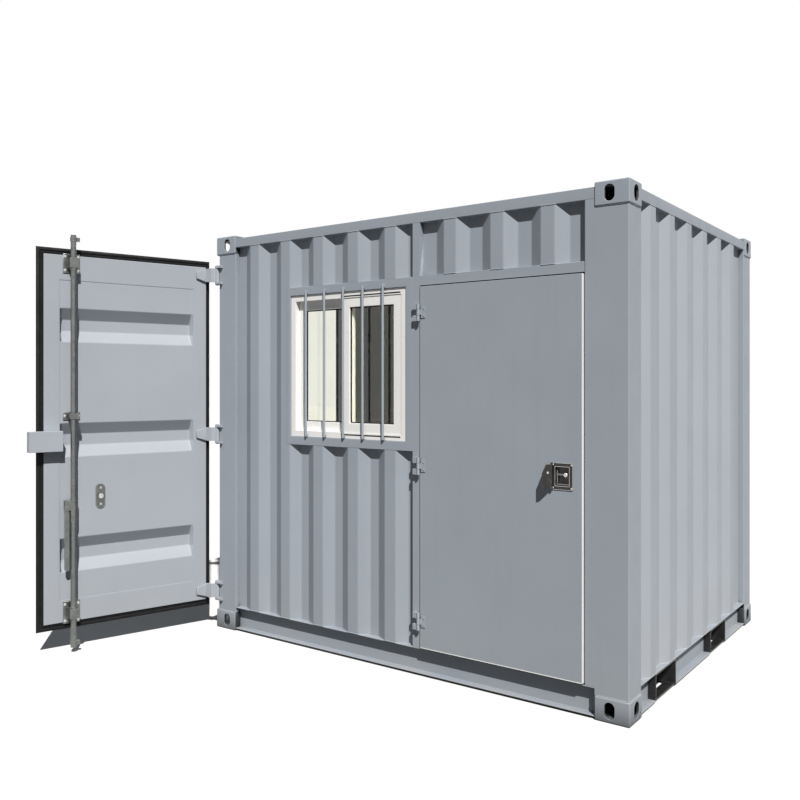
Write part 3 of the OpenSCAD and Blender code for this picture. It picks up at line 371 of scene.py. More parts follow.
def leaf_frame(side):
    """Matrix from a closed leaf's own frame, with its pin at the origin, to where the leaf stands now."""
    joint = JOINTS[side + "_cargo_hinge"]
    pin = Matrix.Translation(Vector(joint["pos_m"]))
    if side == "front":
        opened = -joint["range_deg"][0]
        return pin @ Matrix.Rotation(math.radians(opened), 4, "Z")
    return pin @ Matrix.Scale(-1.0, 4, (0.0, 1.0, 0.0))


WORLD = Matrix.Identity(4)
LEAF = {side: leaf_frame(side) for side in ("front", "rear")}


def cad_mesh(node):
    """A node's mesh with its corners joined and its flat faces whole."""
    bm = bmesh.new()
    bm.from_mesh(NODES[node].data)
    bmesh.ops.remove_doubles(bm, verts=bm.verts, dist=MERGE)
    bmesh.ops.dissolve_limit(bm, angle_limit=FLAT, verts=bm.verts, edges=bm.edges)
    return bm


def box_of(points):
    low = Vector([min(p[axis] for p in points) for axis in range(3)])
    high = Vector([max(p[axis] for p in points) for axis in range(3)])
    return low, high


def islands(node, place=WORLD):
    """Boxes of a node's separate solids in the frame of place, lowest first."""
    back = place.inverted()
    bm = cad_mesh(node)
    left = set(bm.verts)
    boxes = []
    while left:
        group, fresh = set(), [left.pop()]
        while fresh:
            vert = fresh.pop()
            group.add(vert)
            joined = {edge.other_vert(vert) for edge in vert.link_edges} & left
            left -= joined
            fresh += joined
        boxes.append(box_of([back @ v.co for v in group]))
    bm.free()
    return sorted(boxes, key=lambda b: (round(b[0].z, 3), round(b[0].x, 3), round(b[0].y, 3)))


def levels(node, axis, place=WORLD):
    """The distinct coordinates of a node's corners along one axis of the frame of place."""
    back = place.inverted()
    values = sorted((back @ v.co)[axis] for v in NODES[node].data.vertices)
    found = []
    for value in values:
        if not found or value - found[-1] > 2 * LEVEL:
            found.append(value)
    return found


def publish(name, bm, body, slot, place=WORLD, smooth=32.0, stands_for=(), material=None, lining=None):
    """Makes a finished piece of a mesh: moved to its place, shaded, painted and riding on its body."""
    bm.transform(place)
    if place.determinant() < 0:
        bmesh.ops.reverse_faces(bm, faces=bm.faces)
    mesh = bpy.data.meshes.new(name)
    bm.to_mesh(mesh)
    bm.free()
    for face in mesh.polygons:
        face.use_smooth = True
    mesh.set_sharp_from_angle(angle=math.radians(smooth))
    mesh.materials.append(material or FINISH[slot])
    if lining:
        mesh.materials.append(lining)
    piece = bpy.data.objects.new(name, mesh)
    bpy.context.scene.collection.objects.link(piece)
    weigh = piece.modifiers.new("even shading", "WEIGHTED_NORMAL")
    weigh.keep_sharp = True
    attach(piece, body)
    if stands_for:
        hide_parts(*stands_for)


def round_edges(bm, width, steps, chosen):
    """Rounds the sharp edges that chosen accepts."""
    picked = [e for e in bm.edges if len(e.link_faces) == 2
              and abs(e.calc_face_angle(0.0)) > SHARP and chosen(e)]
    if picked:
        bmesh.ops.bevel(bm, geom=picked, offset=width, offset_type="OFFSET", segments=steps,
                        profile=0.5, affect="EDGES", clamp_overlap=False)


def along(axis, length=0.0):
    """Chooses the edges that run along one axis and are longer than length."""
    def test(edge):
        line = edge.verts[1].co - edge.verts[0].co
        return line.length > length and abs(line[axis]) > 0.999 * line.length
    return test


def longer(length):
    return lambda edge: edge.calc_length() > length


def shorter(length):
    return lambda edge: edge.calc_length() < length


def any_edge(edge):
    return True


def body_of(node):
    bodies = frame["record"]["behaviour"]["bodies"]
    return next(body for body, members in bodies.items() if node in members)


def soften(node, slot, *passes, material=None):
    """Shows a copy of a CAD node whose edges are rounded, each pass being (width, steps, choice)."""
    bm = cad_mesh(node)
    for width, steps, chosen in passes:
        round_edges(bm, width, steps, chosen)
    publish("look_" + node, bm, body_of(node), slot, stands_for=[node], material=material)


def keep(node, slot):
    """Shows a CAD node as it is, with its finish."""
    mesh = NODES[node].data
    mesh.materials.clear()
    mesh.materials.append(FINISH[slot])


def add_box(bm, low, high):
    """A box between two opposite corners."""
    for vert in bmesh.ops.create_cube(bm, size=1.0)["verts"]:
        vert.co = Vector([low[k] + (vert.co[k] + 0.5) * (high[k] - low[k]) for k in range(3)])


def turned(axis):
    """Rotation that takes +Z to the given direction."""
    return UP.rotation_difference(Vector(axis)).to_matrix().to_4x4()


def add_lathe(bm, profile, centre, axis, sides=16):
    """Turns a profile of (radius, distance along the axis) points; it starts and ends on the axis."""
    place = Matrix.Translation(Vector(centre)) @ turned(axis)
    angles = [2 * math.pi * k / sides for k in range(sides)]
    rings = []
    for radius, height in profile:
        around = angles if radius > 0.0 else angles[:1]
        rings.append([bm.verts.new(place @ Vector((radius * math.cos(t), radius * math.sin(t), height)))
                      for t in around])
    for lower, upper in zip(rings, rings[1:]):
        for k in range(sides):
            n = (k + 1) % sides
            if len(lower) == 1:
                bm.faces.new([lower[0], upper[n], upper[k]])
            elif len(upper) == 1:
                bm.faces.new([lower[k], lower[n], upper[0]])
            else:
                bm.faces.new([lower[k], lower[n], upper[n], upper[k]])


def add_bolt(bm, centre, axis, size):
    """A washer and a hexagon head whose top is slightly domed; size is the thread's radius."""
    washer, head = 2.1 * size, 1.65 * size
    add_lathe(bm, [(0.0, 0.0), (washer, 0.0), (washer, 0.22 * size), (0.9 * washer, 0.3 * size),
                   (0.0, 0.3 * size)], centre, axis, sides=20)
    add_lathe(bm, [(0.0, 0.25 * size), (head, 0.25 * size), (head, 1.35 * size),
                   (0.86 * head, 1.6 * size), (0.0, 1.68 * size)], centre, axis, sides=6)


def add_screw(bm, centre, axis, radius):
    """A domed screw head with a small round recess."""
    add_lathe(bm, [(0.0, 0.0), (radius, 0.0), (radius, 0.18 * radius), (0.8 * radius, 0.48 * radius),
                   (0.38 * radius, 0.62 * radius), (0.3 * radius, 0.3 * radius), (0.0, 0.3 * radius)],
              centre, axis, sides=14)


def add_rim(bm, centre, axis, radii, heights, sides):
    """A round rim with a bevelled shoulder and a sunk middle.

    radii are the foot's, the shoulder's, the inner edge's and the middle's, and heights are those
    of the foot's side, the rim and the middle.
    """
    foot, shoulder, inner, middle = radii
    side, top, floor = heights
    add_lathe(bm, [(0.0, 0.0), (foot, 0.0), (foot, side), (shoulder, top), (inner, top),
                   (middle, floor), (0.0, floor)], centre, axis, sides)


def add_bar(bm, start, end, radius):
    """A round bar with slightly rounded ends."""
    start, end = Vector(start), Vector(end)
    length = (end - start).length
    nose = 0.25 * radius
    add_lathe(bm, [(0.0, 0.0), (radius - nose, 0.0), (radius, nose), (radius, length - nose),
                   (radius - nose, length), (0.0, length)], start, end - start)


def add_bead(bm, points, radius, seed, closed=False):
    """A weld bead: a six-sided tube along points, with a ripple that random numbers vary."""
    rng = random.Random(seed)
    sides = 6
    step = 2.2 * radius
    fine = []
    for a, b in zip(points, points[1:] + (points[:1] if closed else [])):
        a, b = Vector(a), Vector(b)
        parts = max(1, round((b - a).length / step))
        fine += [a.lerp(b, k / parts) for k in range(parts)]
    if not closed:
        fine.append(Vector(points[-1]))
    rings = []
    count = len(fine)
    for k, point in enumerate(fine):
        before = fine[(k - 1) % count] if closed or k else fine[k]
        after = fine[(k + 1) % count] if closed or k < count - 1 else fine[k]
        line = (after - before).normalized()
        side = (line.orthogonal() if abs(line.z) > 0.9 else line.cross(UP)).normalized()
        up = line.cross(side)
        size = radius * rng.uniform(0.86, 1.14)
        rings.append([bm.verts.new(point + size * (math.cos(t) * side + math.sin(t) * up))
                      for t in [2 * math.pi * j / sides for j in range(sides)]])
    for lower, upper in zip(rings, rings[1:] + (rings[:1] if closed else [])):
        for j in range(sides):
            n = (j + 1) % sides
            bm.faces.new([lower[j], lower[n], upper[n], upper[j]])
    if not closed:
        bm.faces.new(rings[0][::-1])
        bm.faces.new(rings[-1])


def outward(bm):
    """Turns all the faces outwards."""
    bmesh.ops.recalc_face_normals(bm, faces=bm.faces)


def rounded(chain, radius, steps=3):
    """A chain of flat points whose inner corners are turned into short curves."""
    most = 0.45
    out = [Vector(chain[0])]
    for before, corner, after in zip(chain, chain[1:], chain[2:]):
        corner = Vector(corner)
        back, ahead = Vector(before) - corner, Vector(after) - corner
        turn = math.pi - back.angle(ahead)
        if turn < FLAT:
            continue
        reach = min(radius * math.tan(turn / 2), most * back.length, most * ahead.length)
        start, end = corner + reach * back.normalized(), corner + reach * ahead.normalized()
        for k in range(steps + 1):
            t = k / steps
            out.append((1 - t) ** 2 * start + 2 * t * (1 - t) * corner + t * t * end)
    out.append(Vector(chain[-1]))
    return out


def add_shell(bm, front, back, wanted=lambda i, j: True):
    """A closed sheet between two grids of points, made of the cells that wanted accepts."""
    kept = {(i, j) for i in range(len(front) - 1) for j in range(len(front[0]) - 1) if wanted(i, j)}
    made = {}

    def vert(side, i, j):
        if (side, i, j) not in made:
            made[side, i, j] = bm.verts.new((front, back)[side][i][j])
        return made[side, i, j]

    for i, j in sorted(kept):
        ring = [(i, j), (i, j + 1), (i + 1, j + 1), (i + 1, j)]
        bm.faces.new([vert(0, *p) for p in ring])
        bm.faces.new([vert(1, *p) for p in reversed(ring)])
        beside = [(i - 1, j), (i, j + 1), (i + 1, j), (i, j - 1)]
        for a, b, other in zip(ring, ring[1:] + ring[:1], beside):
            if other not in kept:
                bm.faces.new([vert(0, *b), vert(0, *a), vert(1, *a), vert(1, *b)])
    outward(bm)


def add_flat_ring(bm, axis, near, far, outer, inner):
    """A flat rectangular ring across an axis; outer and inner are each (low, low, high, high)."""
    first = [outer[0], inner[0], inner[2], outer[2]]
    second = [outer[1], inner[1], inner[3], outer[3]]

    def grid(level):
        return [[Vector((*(p, q)[:axis], level, *(p, q)[axis:])) for p in first] for q in second]

    add_shell(bm, grid(near), grid(far), wanted=lambda i, j: (i, j) != (1, 1))


def shrunk(bounds, by):
    """The (low, low, high, high) bounds that lie inside bounds by a margin."""
    return bounds[0] + by, bounds[1] + by, bounds[2] - by, bounds[3] - by


def add_profile_ring(bm, axis, edge, widths, profile):
    """A mitred ring round a rectangle: profile has (share of the width outwards, place along the axis)."""
    loops = []
    for share, level in profile:
        low = [edge[k] - share * widths[k] for k in (0, 1)]
        high = [edge[k] + share * widths[k] for k in (2, 3)]
        corners = [(low[0], low[1]), (high[0], low[1]), (high[0], high[1]), (low[0], high[1])]
        loops.append([bm.verts.new((*c[:axis], level, *c[axis:])) for c in corners])
    for one, two in zip(loops, loops[1:] + loops[:1]):
        for k in range(4):
            n = (k + 1) % 4
            bm.faces.new([one[k], one[n], two[n], two[k]])
    outward(bm)


def add_prism(bm, axis, low, high, outline):
    """A straight bar along an axis; outline has its (p, q) corners in the order of the two other axes."""
    ends = [[bm.verts.new((*c[:axis], level, *c[axis:])) for c in outline] for level in (low, high)]
    count = len(outline)
    for k in range(count):
        n = (k + 1) % count
        bm.faces.new([ends[0][k], ends[0][n], ends[1][n], ends[1][k]])
    bm.faces.new(ends[0][::-1])
    bm.faces.new(ends[1])
    outward(bm)


# ------------------------------------------------------------- frame and walls

def build_frame():
    """The fixed frame, walls, roof and floor; a casting's long edges are blunt, its holes' crisp."""
    for node in ("bottom_castings", "top_castings"):
        soften(node, "painted_steel", (7 * MM, 3, longer(0.1)), (1.5 * MM, 1, shorter(0.09)),
               material=CASTING_SHADED_HOLLOWS)
    for node in ("front_right_post", "back_right_post"):
        soften(node, "painted_steel", (5 * MM, 3, along(2, 1.0)))
    soften("door_end_posts", "painted_steel", (3 * MM, 3, along(2)))
    soften("bottom_side_rails", "painted_steel", (2.5 * MM, 2, along(0)))
    soften("end_bottom_rail", "painted_steel", (2 * MM, 2, along(1)))
    soften("top_side_rails", "painted_steel", (3 * MM, 2, along(0)))
    soften("end_top_rail", "painted_steel", (3 * MM, 2, along(1)))
    for node in ("door_sill", "door_header"):
        soften(node, "painted_steel", (2 * MM, 2, along(1, 1.0)))
    soften("floor_beams", "painted_steel", (1.2 * MM, 1, along(1)))
    # painted shade: the pockets' black finish stands for the deep shade inside them
    soften("forklift_pockets", "black_steel", (1.5 * MM, 1, along(0)))
    keep("floor_boards", "floor_ply")
    build_wave("window_wall", "painted_steel", 0, opening=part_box("window_surround"))
    build_wave("lintel_panel", "painted_steel", 0)
    build_wave("back_wall", "painted_steel", 0)
    build_wave("end_wall", "pale_painted_steel", 1)
    build_roof()
    build_corner_welds()


def wave_of(node, run):
    """A corrugated sheet's points (place along the wall, depth) and its thickness, read at its foot."""
    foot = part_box(node)[0].z
    depths = {}
    for vert in NODES[node].data.vertices:
        if vert.co.z < foot + LEVEL:
            depths.setdefault(round(vert.co[run], 4), []).append(vert.co[1 - run])
    chain = [(place, min(found)) for place, found in sorted(depths.items())]
    thick = min(max(found) - min(found) for found in depths.values())
    return chain, thick


def at(run, place, depth, z):
    """The point of a wall that runs along X (run 0) or Y (run 1)."""
    return Vector((place, depth, z) if run == 0 else (depth, place, z))


def build_wave(node, slot, run, opening=None):
    """A pressed corrugated sheet with rounded folds, and a weld along its foot and its top.

    The sheet leaves out what lies right of the opening's left side, between its foot and its top.
    """
    fold, weld = 22 * MM, 2.6 * MM
    low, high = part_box(node)
    chain, thick = wave_of(node, run)
    chain = rounded(chain, fold)
    heights, at_left = [low.z, high.z], len(chain)
    if opening:
        left, bottom, top = opening[0][run], opening[0].z, opening[1].z
        at_left = next(k for k, p in enumerate(chain) if p[0] > left)
        before, after = chain[at_left - 1], chain[at_left]
        chain.insert(at_left, before.lerp(after, (left - before[0]) / (after[0] - before[0])))
        heights = [low.z, bottom, top, high.z]
    bm = bmesh.new()
    add_shell(bm, [[at(run, p[0], p[1], z) for p in chain] for z in heights],
              [[at(run, p[0], p[1] + thick, z) for p in chain] for z in heights],
              wanted=lambda i, j: i != 1 or j < at_left)
    side = 1.0 if low[1 - run] + high[1 - run] > 0 else -1.0
    line_inside(bm, 1 - run, side)
    publish("look_" + node, bm, "container", slot, stands_for=[node], lining=LINING)
    outer = thick if side > 0 else 0.0
    bm = bmesh.new()
    for k, z in enumerate((low.z, high.z)):
        add_bead(bm, [at(run, p[0], p[1] + outer, z) for p in chain], weld, seed=len(node) + k)
    publish("weld_" + node, bm, "container", slot)


def line_inside(bm, axis, side):
    """Gives the faces that look into the room the second material; side is the wall's sign on axis."""
    facing = 0.05
    bm.normal_update()
    for face in bm.faces:
        if face.normal[axis] * side < -facing:
            face.material_index = 1


def build_roof():
    """The roof sheet pressed from one piece: shallow ribs across it with closed sloping ends."""
    fold, margin = 18 * MM, 60 * MM
    shortest, longest = 15 * MM, 30 * MM
    low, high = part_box("roof_sheet")
    xs, ys, zs = (levels("roof_sheet", axis) for axis in range(3))
    flat = zs[1]
    thick = zs[1] - zs[0]
    rise = high.z - flat
    inner = [y for y in ys if low.y + margin < y < high.y - margin]
    crests = sorted({round(v.co.x, 4) for v in NODES["roof_sheet"].data.vertices
                     if v.co.z > high.z - LEVEL})
    slope = min(b - a for a, b in zip(xs, xs[1:]) if shortest < b - a < longest)
    line = [(low.x, 0.0)]
    for a, b in zip(crests[::2], crests[1::2]):
        line += [(a - slope, 0.0), (a, rise), (b, rise), (b + slope, 0.0)]
    line = rounded(line + [(high.x, 0.0)], fold)
    ends = [(low.y, 0.0), (inner[0], 0.0), (inner[0] + 2 * slope, rise), (inner[-1] - 2 * slope, rise),
            (inner[-1], 0.0), (high.y, 0.0)]
    ends = rounded(ends, fold)
    top = [[Vector((p[0], q[0], flat + p[1] * q[1] / rise)) for p in line] for q in ends]
    under = [[point - thick * UP for point in row] for row in top]
    bm = bmesh.new()
    add_shell(bm, under, top)
    line_inside(bm, 2, 1.0)
    publish("look_roof_sheet", bm, "container", "painted_steel", stands_for=["roof_sheet"], lining=LINING)


def build_corner_welds():
    """Weld beads where the posts stand on the lower castings and carry the upper ones."""
    weld, inset, clear = 3.2 * MM, 12 * MM, 0.8 * MM
    front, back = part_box("front_right_post"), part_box("back_right_post")
    bm = bmesh.new()
    seed = 0
    for node, side, rise in (("bottom_castings", 1, clear), ("top_castings", 0, -clear)):
        for box in islands(node):
            z = box[side].z + rise
            face = front[0].y if box[0].y < 0 else back[1].y
            seed += 1
            add_bead(bm, [(box[0].x + inset, face, z), (box[1].x - inset, face, z)], weld, seed)
            if box[0].x > 0:
                add_bead(bm, [(front[1].x, box[0].y + inset, z), (front[1].x, box[1].y - inset, z)],
                         weld, 40 + seed)
    publish("weld_castings", bm, "container", "painted_steel")


def build_doorway():
    """The doorway, the window's steel surround, and the personnel door with its hardware."""
    soften("personnel_doorway", "painted_steel", (2 * MM, 2, longer(0.3)))
    soften("window_surround", "painted_steel", (2.5 * MM, 2, any_edge))
    soften("door_leaf", "painted_steel", (2.5 * MM, 3, longer(0.5)))
    soften("door_hinge_butts", "painted_steel", (0.8 * MM, 2, longer(0.02)))
    soften("door_hinge_flaps", "painted_steel", (0.8 * MM, 2, longer(0.02)))
    soften("latch_dish", "black_steel", (1 * MM, 2, longer(0.07)), material=LATCH_STEEL)
    soften("latch_flap", "black_steel", (1 * MM, 2, longer(0.05)), material=LATCH_STEEL)
    build_latch()
    build_hinge_screws()
    build_door_edges()
    build_door_seal()


def build_latch():
    """The screws, lock barrel, rims and lever of the personnel door's latch, and its cover's screw."""
    plate_left, plate_depth = 3 * MM, 23 * MM
    low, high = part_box("latch_dish")
    near = Vector((low.x + plate_left, high.y - plate_depth, low.z))
    build_latch_face(near, high)
    build_latch_highlight_rims(near, high)
    build_latch_lever(near, high)
    build_flap_screw()


def build_latch_face(near, far):
    """Four corner screws of the latch's plate and the rim of its lock barrel.

    near is the plate's low left front corner, and far is the dish's high right back one.
    """
    left_in, right_in, up_in, head = 7 * MM, 6.5 * MM, 9 * MM, 5.2 * MM
    barrel_in, barrel_sunk, barrel_up = 40 * MM, 3.5 * MM, 8 * MM
    bm = bmesh.new()
    for x in (near.x + left_in, far.x - right_in):
        for z in (near.z + up_in, far.z - up_in):
            add_screw(bm, (x, near.y, z), OFF_WALL, head)
    centre = (far.x - barrel_in, near.y + barrel_sunk, 0.5 * (near.z + far.z) + barrel_up)
    add_rim(bm, centre, OFF_WALL, radii=[10.2 * MM, 9 * MM, 6.4 * MM, 6 * MM],
            heights=[1.6 * MM, 2.6 * MM, 1.2 * MM], sides=24)
    outward(bm)
    publish("latch_screws", bm, "personnel_door", "galvanised_steel", material=BRIGHT_ZINC)


def build_latch_highlight_rims(near, far):
    """Pale zinc rims on the edges of the latch's plate and of its dish: partly the trim's own brightness,
    and partly a painted highlight along those edges.
    """
    dish, proud, sunk = 17 * MM, 1.2 * MM, 0.6 * MM
    edge = (near.x, near.z, far.x, far.z)
    bm = bmesh.new()
    for inset, wide in ((0.0, 1.6 * MM), (dish, 2 * MM)):
        outer = shrunk(edge, inset)
        add_flat_ring(bm, 1, near.y - proud, near.y + sunk, outer, shrunk(outer, wide))
    round_edges(bm, 0.7 * MM, 2, any_edge)
    publish("latch_highlight_rims", bm, "personnel_door", "galvanised_steel", material=BRIGHT_ZINC)


def build_latch_lever(near, far):
    """The lever in the dish: an upright arm, a cross arm behind the barrel and a low stop."""
    left, back, right = near.x, far.y, far.x
    foot, middle = near.z, 0.5 * (near.z + far.z)
    bm = bmesh.new()
    add_box(bm, (left + 22 * MM, back - 14 * MM, middle - 34 * MM),
            (left + 29 * MM, back - 7 * MM, middle + 30 * MM))
    add_box(bm, (left + 16 * MM, back - 12 * MM, middle + 4 * MM),
            (right - 32 * MM, back - 6 * MM, middle + 12 * MM))
    add_box(bm, (left + 18 * MM, back - 17 * MM, foot + 24 * MM),
            (right - 22 * MM, back - 13 * MM, foot + 29 * MM))
    round_edges(bm, 1.2 * MM, 2, any_edge)
    outward(bm)
    publish("latch_lever", bm, "personnel_door", "galvanised_steel")


def build_flap_screw():
    """The screw in the sloping face of the latch's cover."""
    above_middle, head, slope = 12 * MM, 7 * MM, 0.3
    sloping = [face for face in NODES["latch_flap"].data.polygons if face.normal.y < -slope]
    face = max(sloping, key=lambda one: one.area)
    bm = bmesh.new()
    add_screw(bm, face.center + above_middle * UP, face.normal, head)
    outward(bm)
    publish("flap_screw", bm, "flap", "galvanised_steel", material=BRIGHT_ZINC)


def build_hinge_screws():
    """Two screws in each of the personnel door's hinge flaps."""
    inset, sink, head = 9 * MM, 4 * MM, 4.6 * MM
    bm = bmesh.new()
    for low, high in islands("door_hinge_flaps"):
        for share in (0.2, 0.8):
            z = low.z + share * (high.z - low.z)
            add_screw(bm, (high.x - inset, high.y - sink, z), OFF_WALL, head)
    outward(bm)
    publish("hinge_screws", bm, "personnel_door", "painted_steel")


def build_door_edges():
    """The pale strip on the door's free edge and foot, and the rubber under the foot."""
    lap, proud, outside = 4.5 * MM, 1.2 * MM, 1 * MM
    depth, skin, nick, short = 24 * MM, 0.5 * MM, 0.3 * MM, 2 * MM
    low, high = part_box("door_leaf")
    edge, face = high.x, low.y
    start, end = low.x + 4 * MM, edge - 5 * MM
    bm = bmesh.new()
    add_prism(bm, 2, low.z + short, high.z - short,
              [(edge - lap, face - proud), (edge + outside - nick, face - proud),
               (edge + outside, face - proud + nick), (edge + outside, face + depth),
               (edge - skin, face + depth), (edge - skin, face + skin), (edge - lap, face + skin)])
    add_box(bm, (start, face - proud, low.z - 0.8 * MM), (end, face + 1 * MM, low.z + 2.6 * MM))
    publish("door_edge_strip", bm, "personnel_door", "white_plastic")
    bm = bmesh.new()
    add_box(bm, (start, face - 1.4 * MM, low.z - 3.8 * MM), (end, face + 6 * MM, low.z - 1 * MM))
    round_edges(bm, 0.6 * MM, 2, any_edge)
    publish("door_bottom_seal", bm, "personnel_door", "seal_rubber")


def build_door_seal():
    """The rubber that fills the gap between the personnel door and its doorway."""
    gap, taper = 5.4 * MM, 2 * MM
    low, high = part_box("door_leaf")
    near, far = high.y - 22 * MM, high.y - 10 * MM
    profile = [(0.35, near + taper), (0.6, near), (1.0, near), (1.0, far), (0.6, far), (0.35, far - taper)]
    bm = bmesh.new()
    add_profile_ring(bm, 1, (low.x, low.z, high.x, high.z), (gap,) * 4, profile)
    publish("door_seal", bm, "container", "seal_rubber")


def build_window():
    """The white sliding window, its glass and gaskets, strips of painted shade along its track,
    and the bars before it.
    """
    soften("window_frame", "white_plastic", (2.5 * MM, 3, any_edge))
    soften("window_sashes", "white_plastic", (2.5 * MM, 3, any_edge))
    keep("window_glass", "window_pane")
    build_window_bars()
    build_glazing()
    build_sash_track_shade()


def build_window_bars():
    """Five round bars welded across the front of the window's steel surround."""
    radius, pitch, left_shift = 7.5 * MM, 147.5 * MM, 10 * MM
    clear, below, above = 0.3 * MM, 54 * MM, 28 * MM
    weld, weld_half, weld_proud, weld_in = 2.8 * MM, 8 * MM, 1.5 * MM, 7 * MM
    low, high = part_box("window_surround")
    frame_low, frame_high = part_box("window_frame")
    middle = 0.5 * (frame_low.x + frame_high.x) - left_shift
    y = low.y - radius - clear
    bottom, top = low.z + below, high.z - above
    bars, welds = bmesh.new(), bmesh.new()
    for k in range(-2, 3):
        x = middle + k * pitch
        add_bar(bars, (x, y, bottom), (x, y, top), radius)
        for z in (bottom + weld_in, top - weld_in):
            for side in (-radius, radius):
                add_bead(welds, [(x + side, low.y - weld_proud, z - weld_half),
                                 (x + side, low.y - weld_proud, z + weld_half)], weld, seed=50 + k)
    outward(bars)
    outward(welds)
    publish("window_bars", bars, "container", "painted_steel")
    publish("window_bar_welds", welds, "container", "painted_steel")


def build_glazing():
    """The black gaskets that hold the panes on both their faces."""
    wide, start, end = 6 * MM, 0.2 * MM, 2.5 * MM
    bm = bmesh.new()
    for low, high in islands("window_glass"):
        edge = (low.x, low.z, high.x, high.z)
        for near, far in ((low.y - end, low.y - start), (high.y + start, high.y + end)):
            add_flat_ring(bm, 1, near, far, edge, shrunk(edge, wide))
    round_edges(bm, 0.7 * MM, 1, any_edge)
    publish("glazing_gaskets", bm, "container", "seal_rubber")


def build_sash_track_shade():
    """Black rubber strips on the frame's front above and below the window's front sash; they paint
    the shade of the track's gaps there.
    """
    half, proud, sunk = 4 * MM, 0.5 * MM, 2 * MM
    left_out, right_in = 6 * MM, 4 * MM
    low, high = min(islands("window_sashes"), key=lambda box: box[0].y)
    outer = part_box("window_frame")[0]
    rail = low.z - outer.z
    bm = bmesh.new()
    for z in (low.z - 0.4 * rail, high.z + 0.3 * rail):
        add_box(bm, (low.x - left_out, outer.y - proud, z - half),
                (high.x - right_in, outer.y + sunk, z + half))
    round_edges(bm, 0.4 * MM, 2, any_edge)
    publish("sash_track_shade", bm, "container", "seal_rubber")


def build_cargo_doors():
    """Both cargo leaves with their rubber, hinges, locking bars and handles, and the lock box."""
    soften("cam_keepers", "galvanised_steel", (1 * MM, 2, longer(0.02)))
    soften("cargo_hinge_lugs", "pale_painted_steel", (2 * MM, 2, longer(0.03)))
    for side in ("front", "rear"):
        build_leaf(side)
        build_gasket(side)
        build_guide_bolts(side)
        soften(side + "_blades", "pale_painted_steel", (5.5 * MM, 4, longer(0.03)))
        soften(side + "_bar_guides", "galvanised_steel", (1.5 * MM, 2, longer(0.025)))
        soften(side + "_locking_bar", "galvanised_steel")
        soften(side + "_handle", "galvanised_steel", (1.5 * MM, 2, longer(0.1)))
    soften("lock_box", "pale_painted_steel", (2 * MM, 3, longer(0.03)))


def build_leaf(side):
    """A leaf's hollow frame and its pressed sheet, whose sunk ribs end in slopes, with the seam welds."""
    blunt, rib_fold, end_fold, weld, sink = 3.5 * MM, 14 * MM, 12 * MM, 1.9 * MM, 0.3 * MM
    start, end = 1 * MM, 14 * MM
    node, place = side + "_leaf", LEAF[side]
    xs, ys, zs = (levels(node, axis, place) for axis in range(3))
    bm = bmesh.new()
    left, foot, right, top = panel = (ys[1], zs[1], ys[-2], zs[-2])
    add_flat_ring(bm, 0, xs[0], xs[-1], (ys[0], zs[0], ys[-1], zs[-1]), panel)
    round_edges(bm, blunt, 3, any_edge)
    face, depth, thick = xs[1], xs[3] - xs[1], xs[2] - xs[1]
    rows = [(foot, 0.0)]
    for low, flat_low, flat_high, high in zip(*[iter(zs[2:-2])] * 4):
        rows += [(low, 0.0), (flat_low, depth), (flat_high, depth), (high, 0.0)]
    rows = rounded(rows + [(top, 0.0)], rib_fold)
    columns = [(left, 0.0), (left + start, 0.0), (left + end, depth),
               (right - end, depth), (right - start, 0.0), (right, 0.0)]
    columns = rounded(columns, end_fold)
    front = [[Vector((face + r[1] * c[1] / depth, c[0], r[0])) for c in columns] for r in rows]
    back = [[point + Vector((thick, 0.0, 0.0)) for point in row] for row in front]
    sheet = bmesh.new()
    add_shell(sheet, front, back)
    join_into(bm, sheet)
    publish("look_" + node, bm, side + "_cargo_door", "pale_painted_steel", place, stands_for=[node])
    bm = bmesh.new()
    seam = face - sink
    corners = [(seam, left, foot), (seam, right, foot), (seam, right, top), (seam, left, top)]
    add_bead(bm, corners, weld, seed=7, closed=True)
    outward(bm)
    publish(side + "_leaf_weld", bm, side + "_cargo_door", "pale_painted_steel", place)


def join_into(bm, other):
    """Adds another mesh to bm, and frees it."""
    mesh = bpy.data.meshes.new("joined")
    other.to_mesh(mesh)
    other.free()
    bm.from_mesh(mesh)
    bpy.data.meshes.remove(mesh)


def build_gasket(side):
    """The door's rubber: a ring with two ridges and a thin outer lip, mitred at its corners.

    The outside's points are (share of the width outwards, millimetres behind the front).
    """
    node, place = side + "_gasket", LEAF[side]
    xs, ys, zs = (levels(node, axis, place) for axis in range(3))
    edge = (ys[1], zs[1], ys[-2], zs[-2])
    widths = (ys[1] - ys[0], zs[1] - zs[0], ys[-1] - ys[-2], zs[-1] - zs[-2])
    front, back = xs[0], xs[-1]
    outside = [(0.0, 3), (0.10, 0), (0.26, 0), (0.34, 5), (0.46, 5), (0.56, 1), (0.70, 1), (0.85, 4),
               (1.0, 10), (1.0, 13), (0.8, 14)]
    inside = [(0.5, back - 4 * MM), (0.2, back), (0.0, back)]
    bm = bmesh.new()
    add_profile_ring(bm, 0, edge, widths, [(share, front + step * MM) for share, step in outside] + inside)
    publish("look_" + node, bm, side + "_cargo_door", "seal_rubber", place, smooth=40.0,
            stands_for=[node])


def add_catch_faces(bm, front):
    """The rim of the handle catch's lock barrel and the rivets on the bosses above and below it."""
    sink, reach, rivet = 6 * MM, 50 * MM, 7.5 * MM
    add_rim(bm, front, OFF_LEAF, radii=[15.5 * MM, 14 * MM, 8.5 * MM, 7.5 * MM],
            heights=[1.4 * MM, 2.2 * MM, 0.8 * MM], sides=28)
    for drop in (-reach, reach):
        add_screw(bm, front + Vector((sink, 0.0, drop)), OFF_LEAF, rivet)


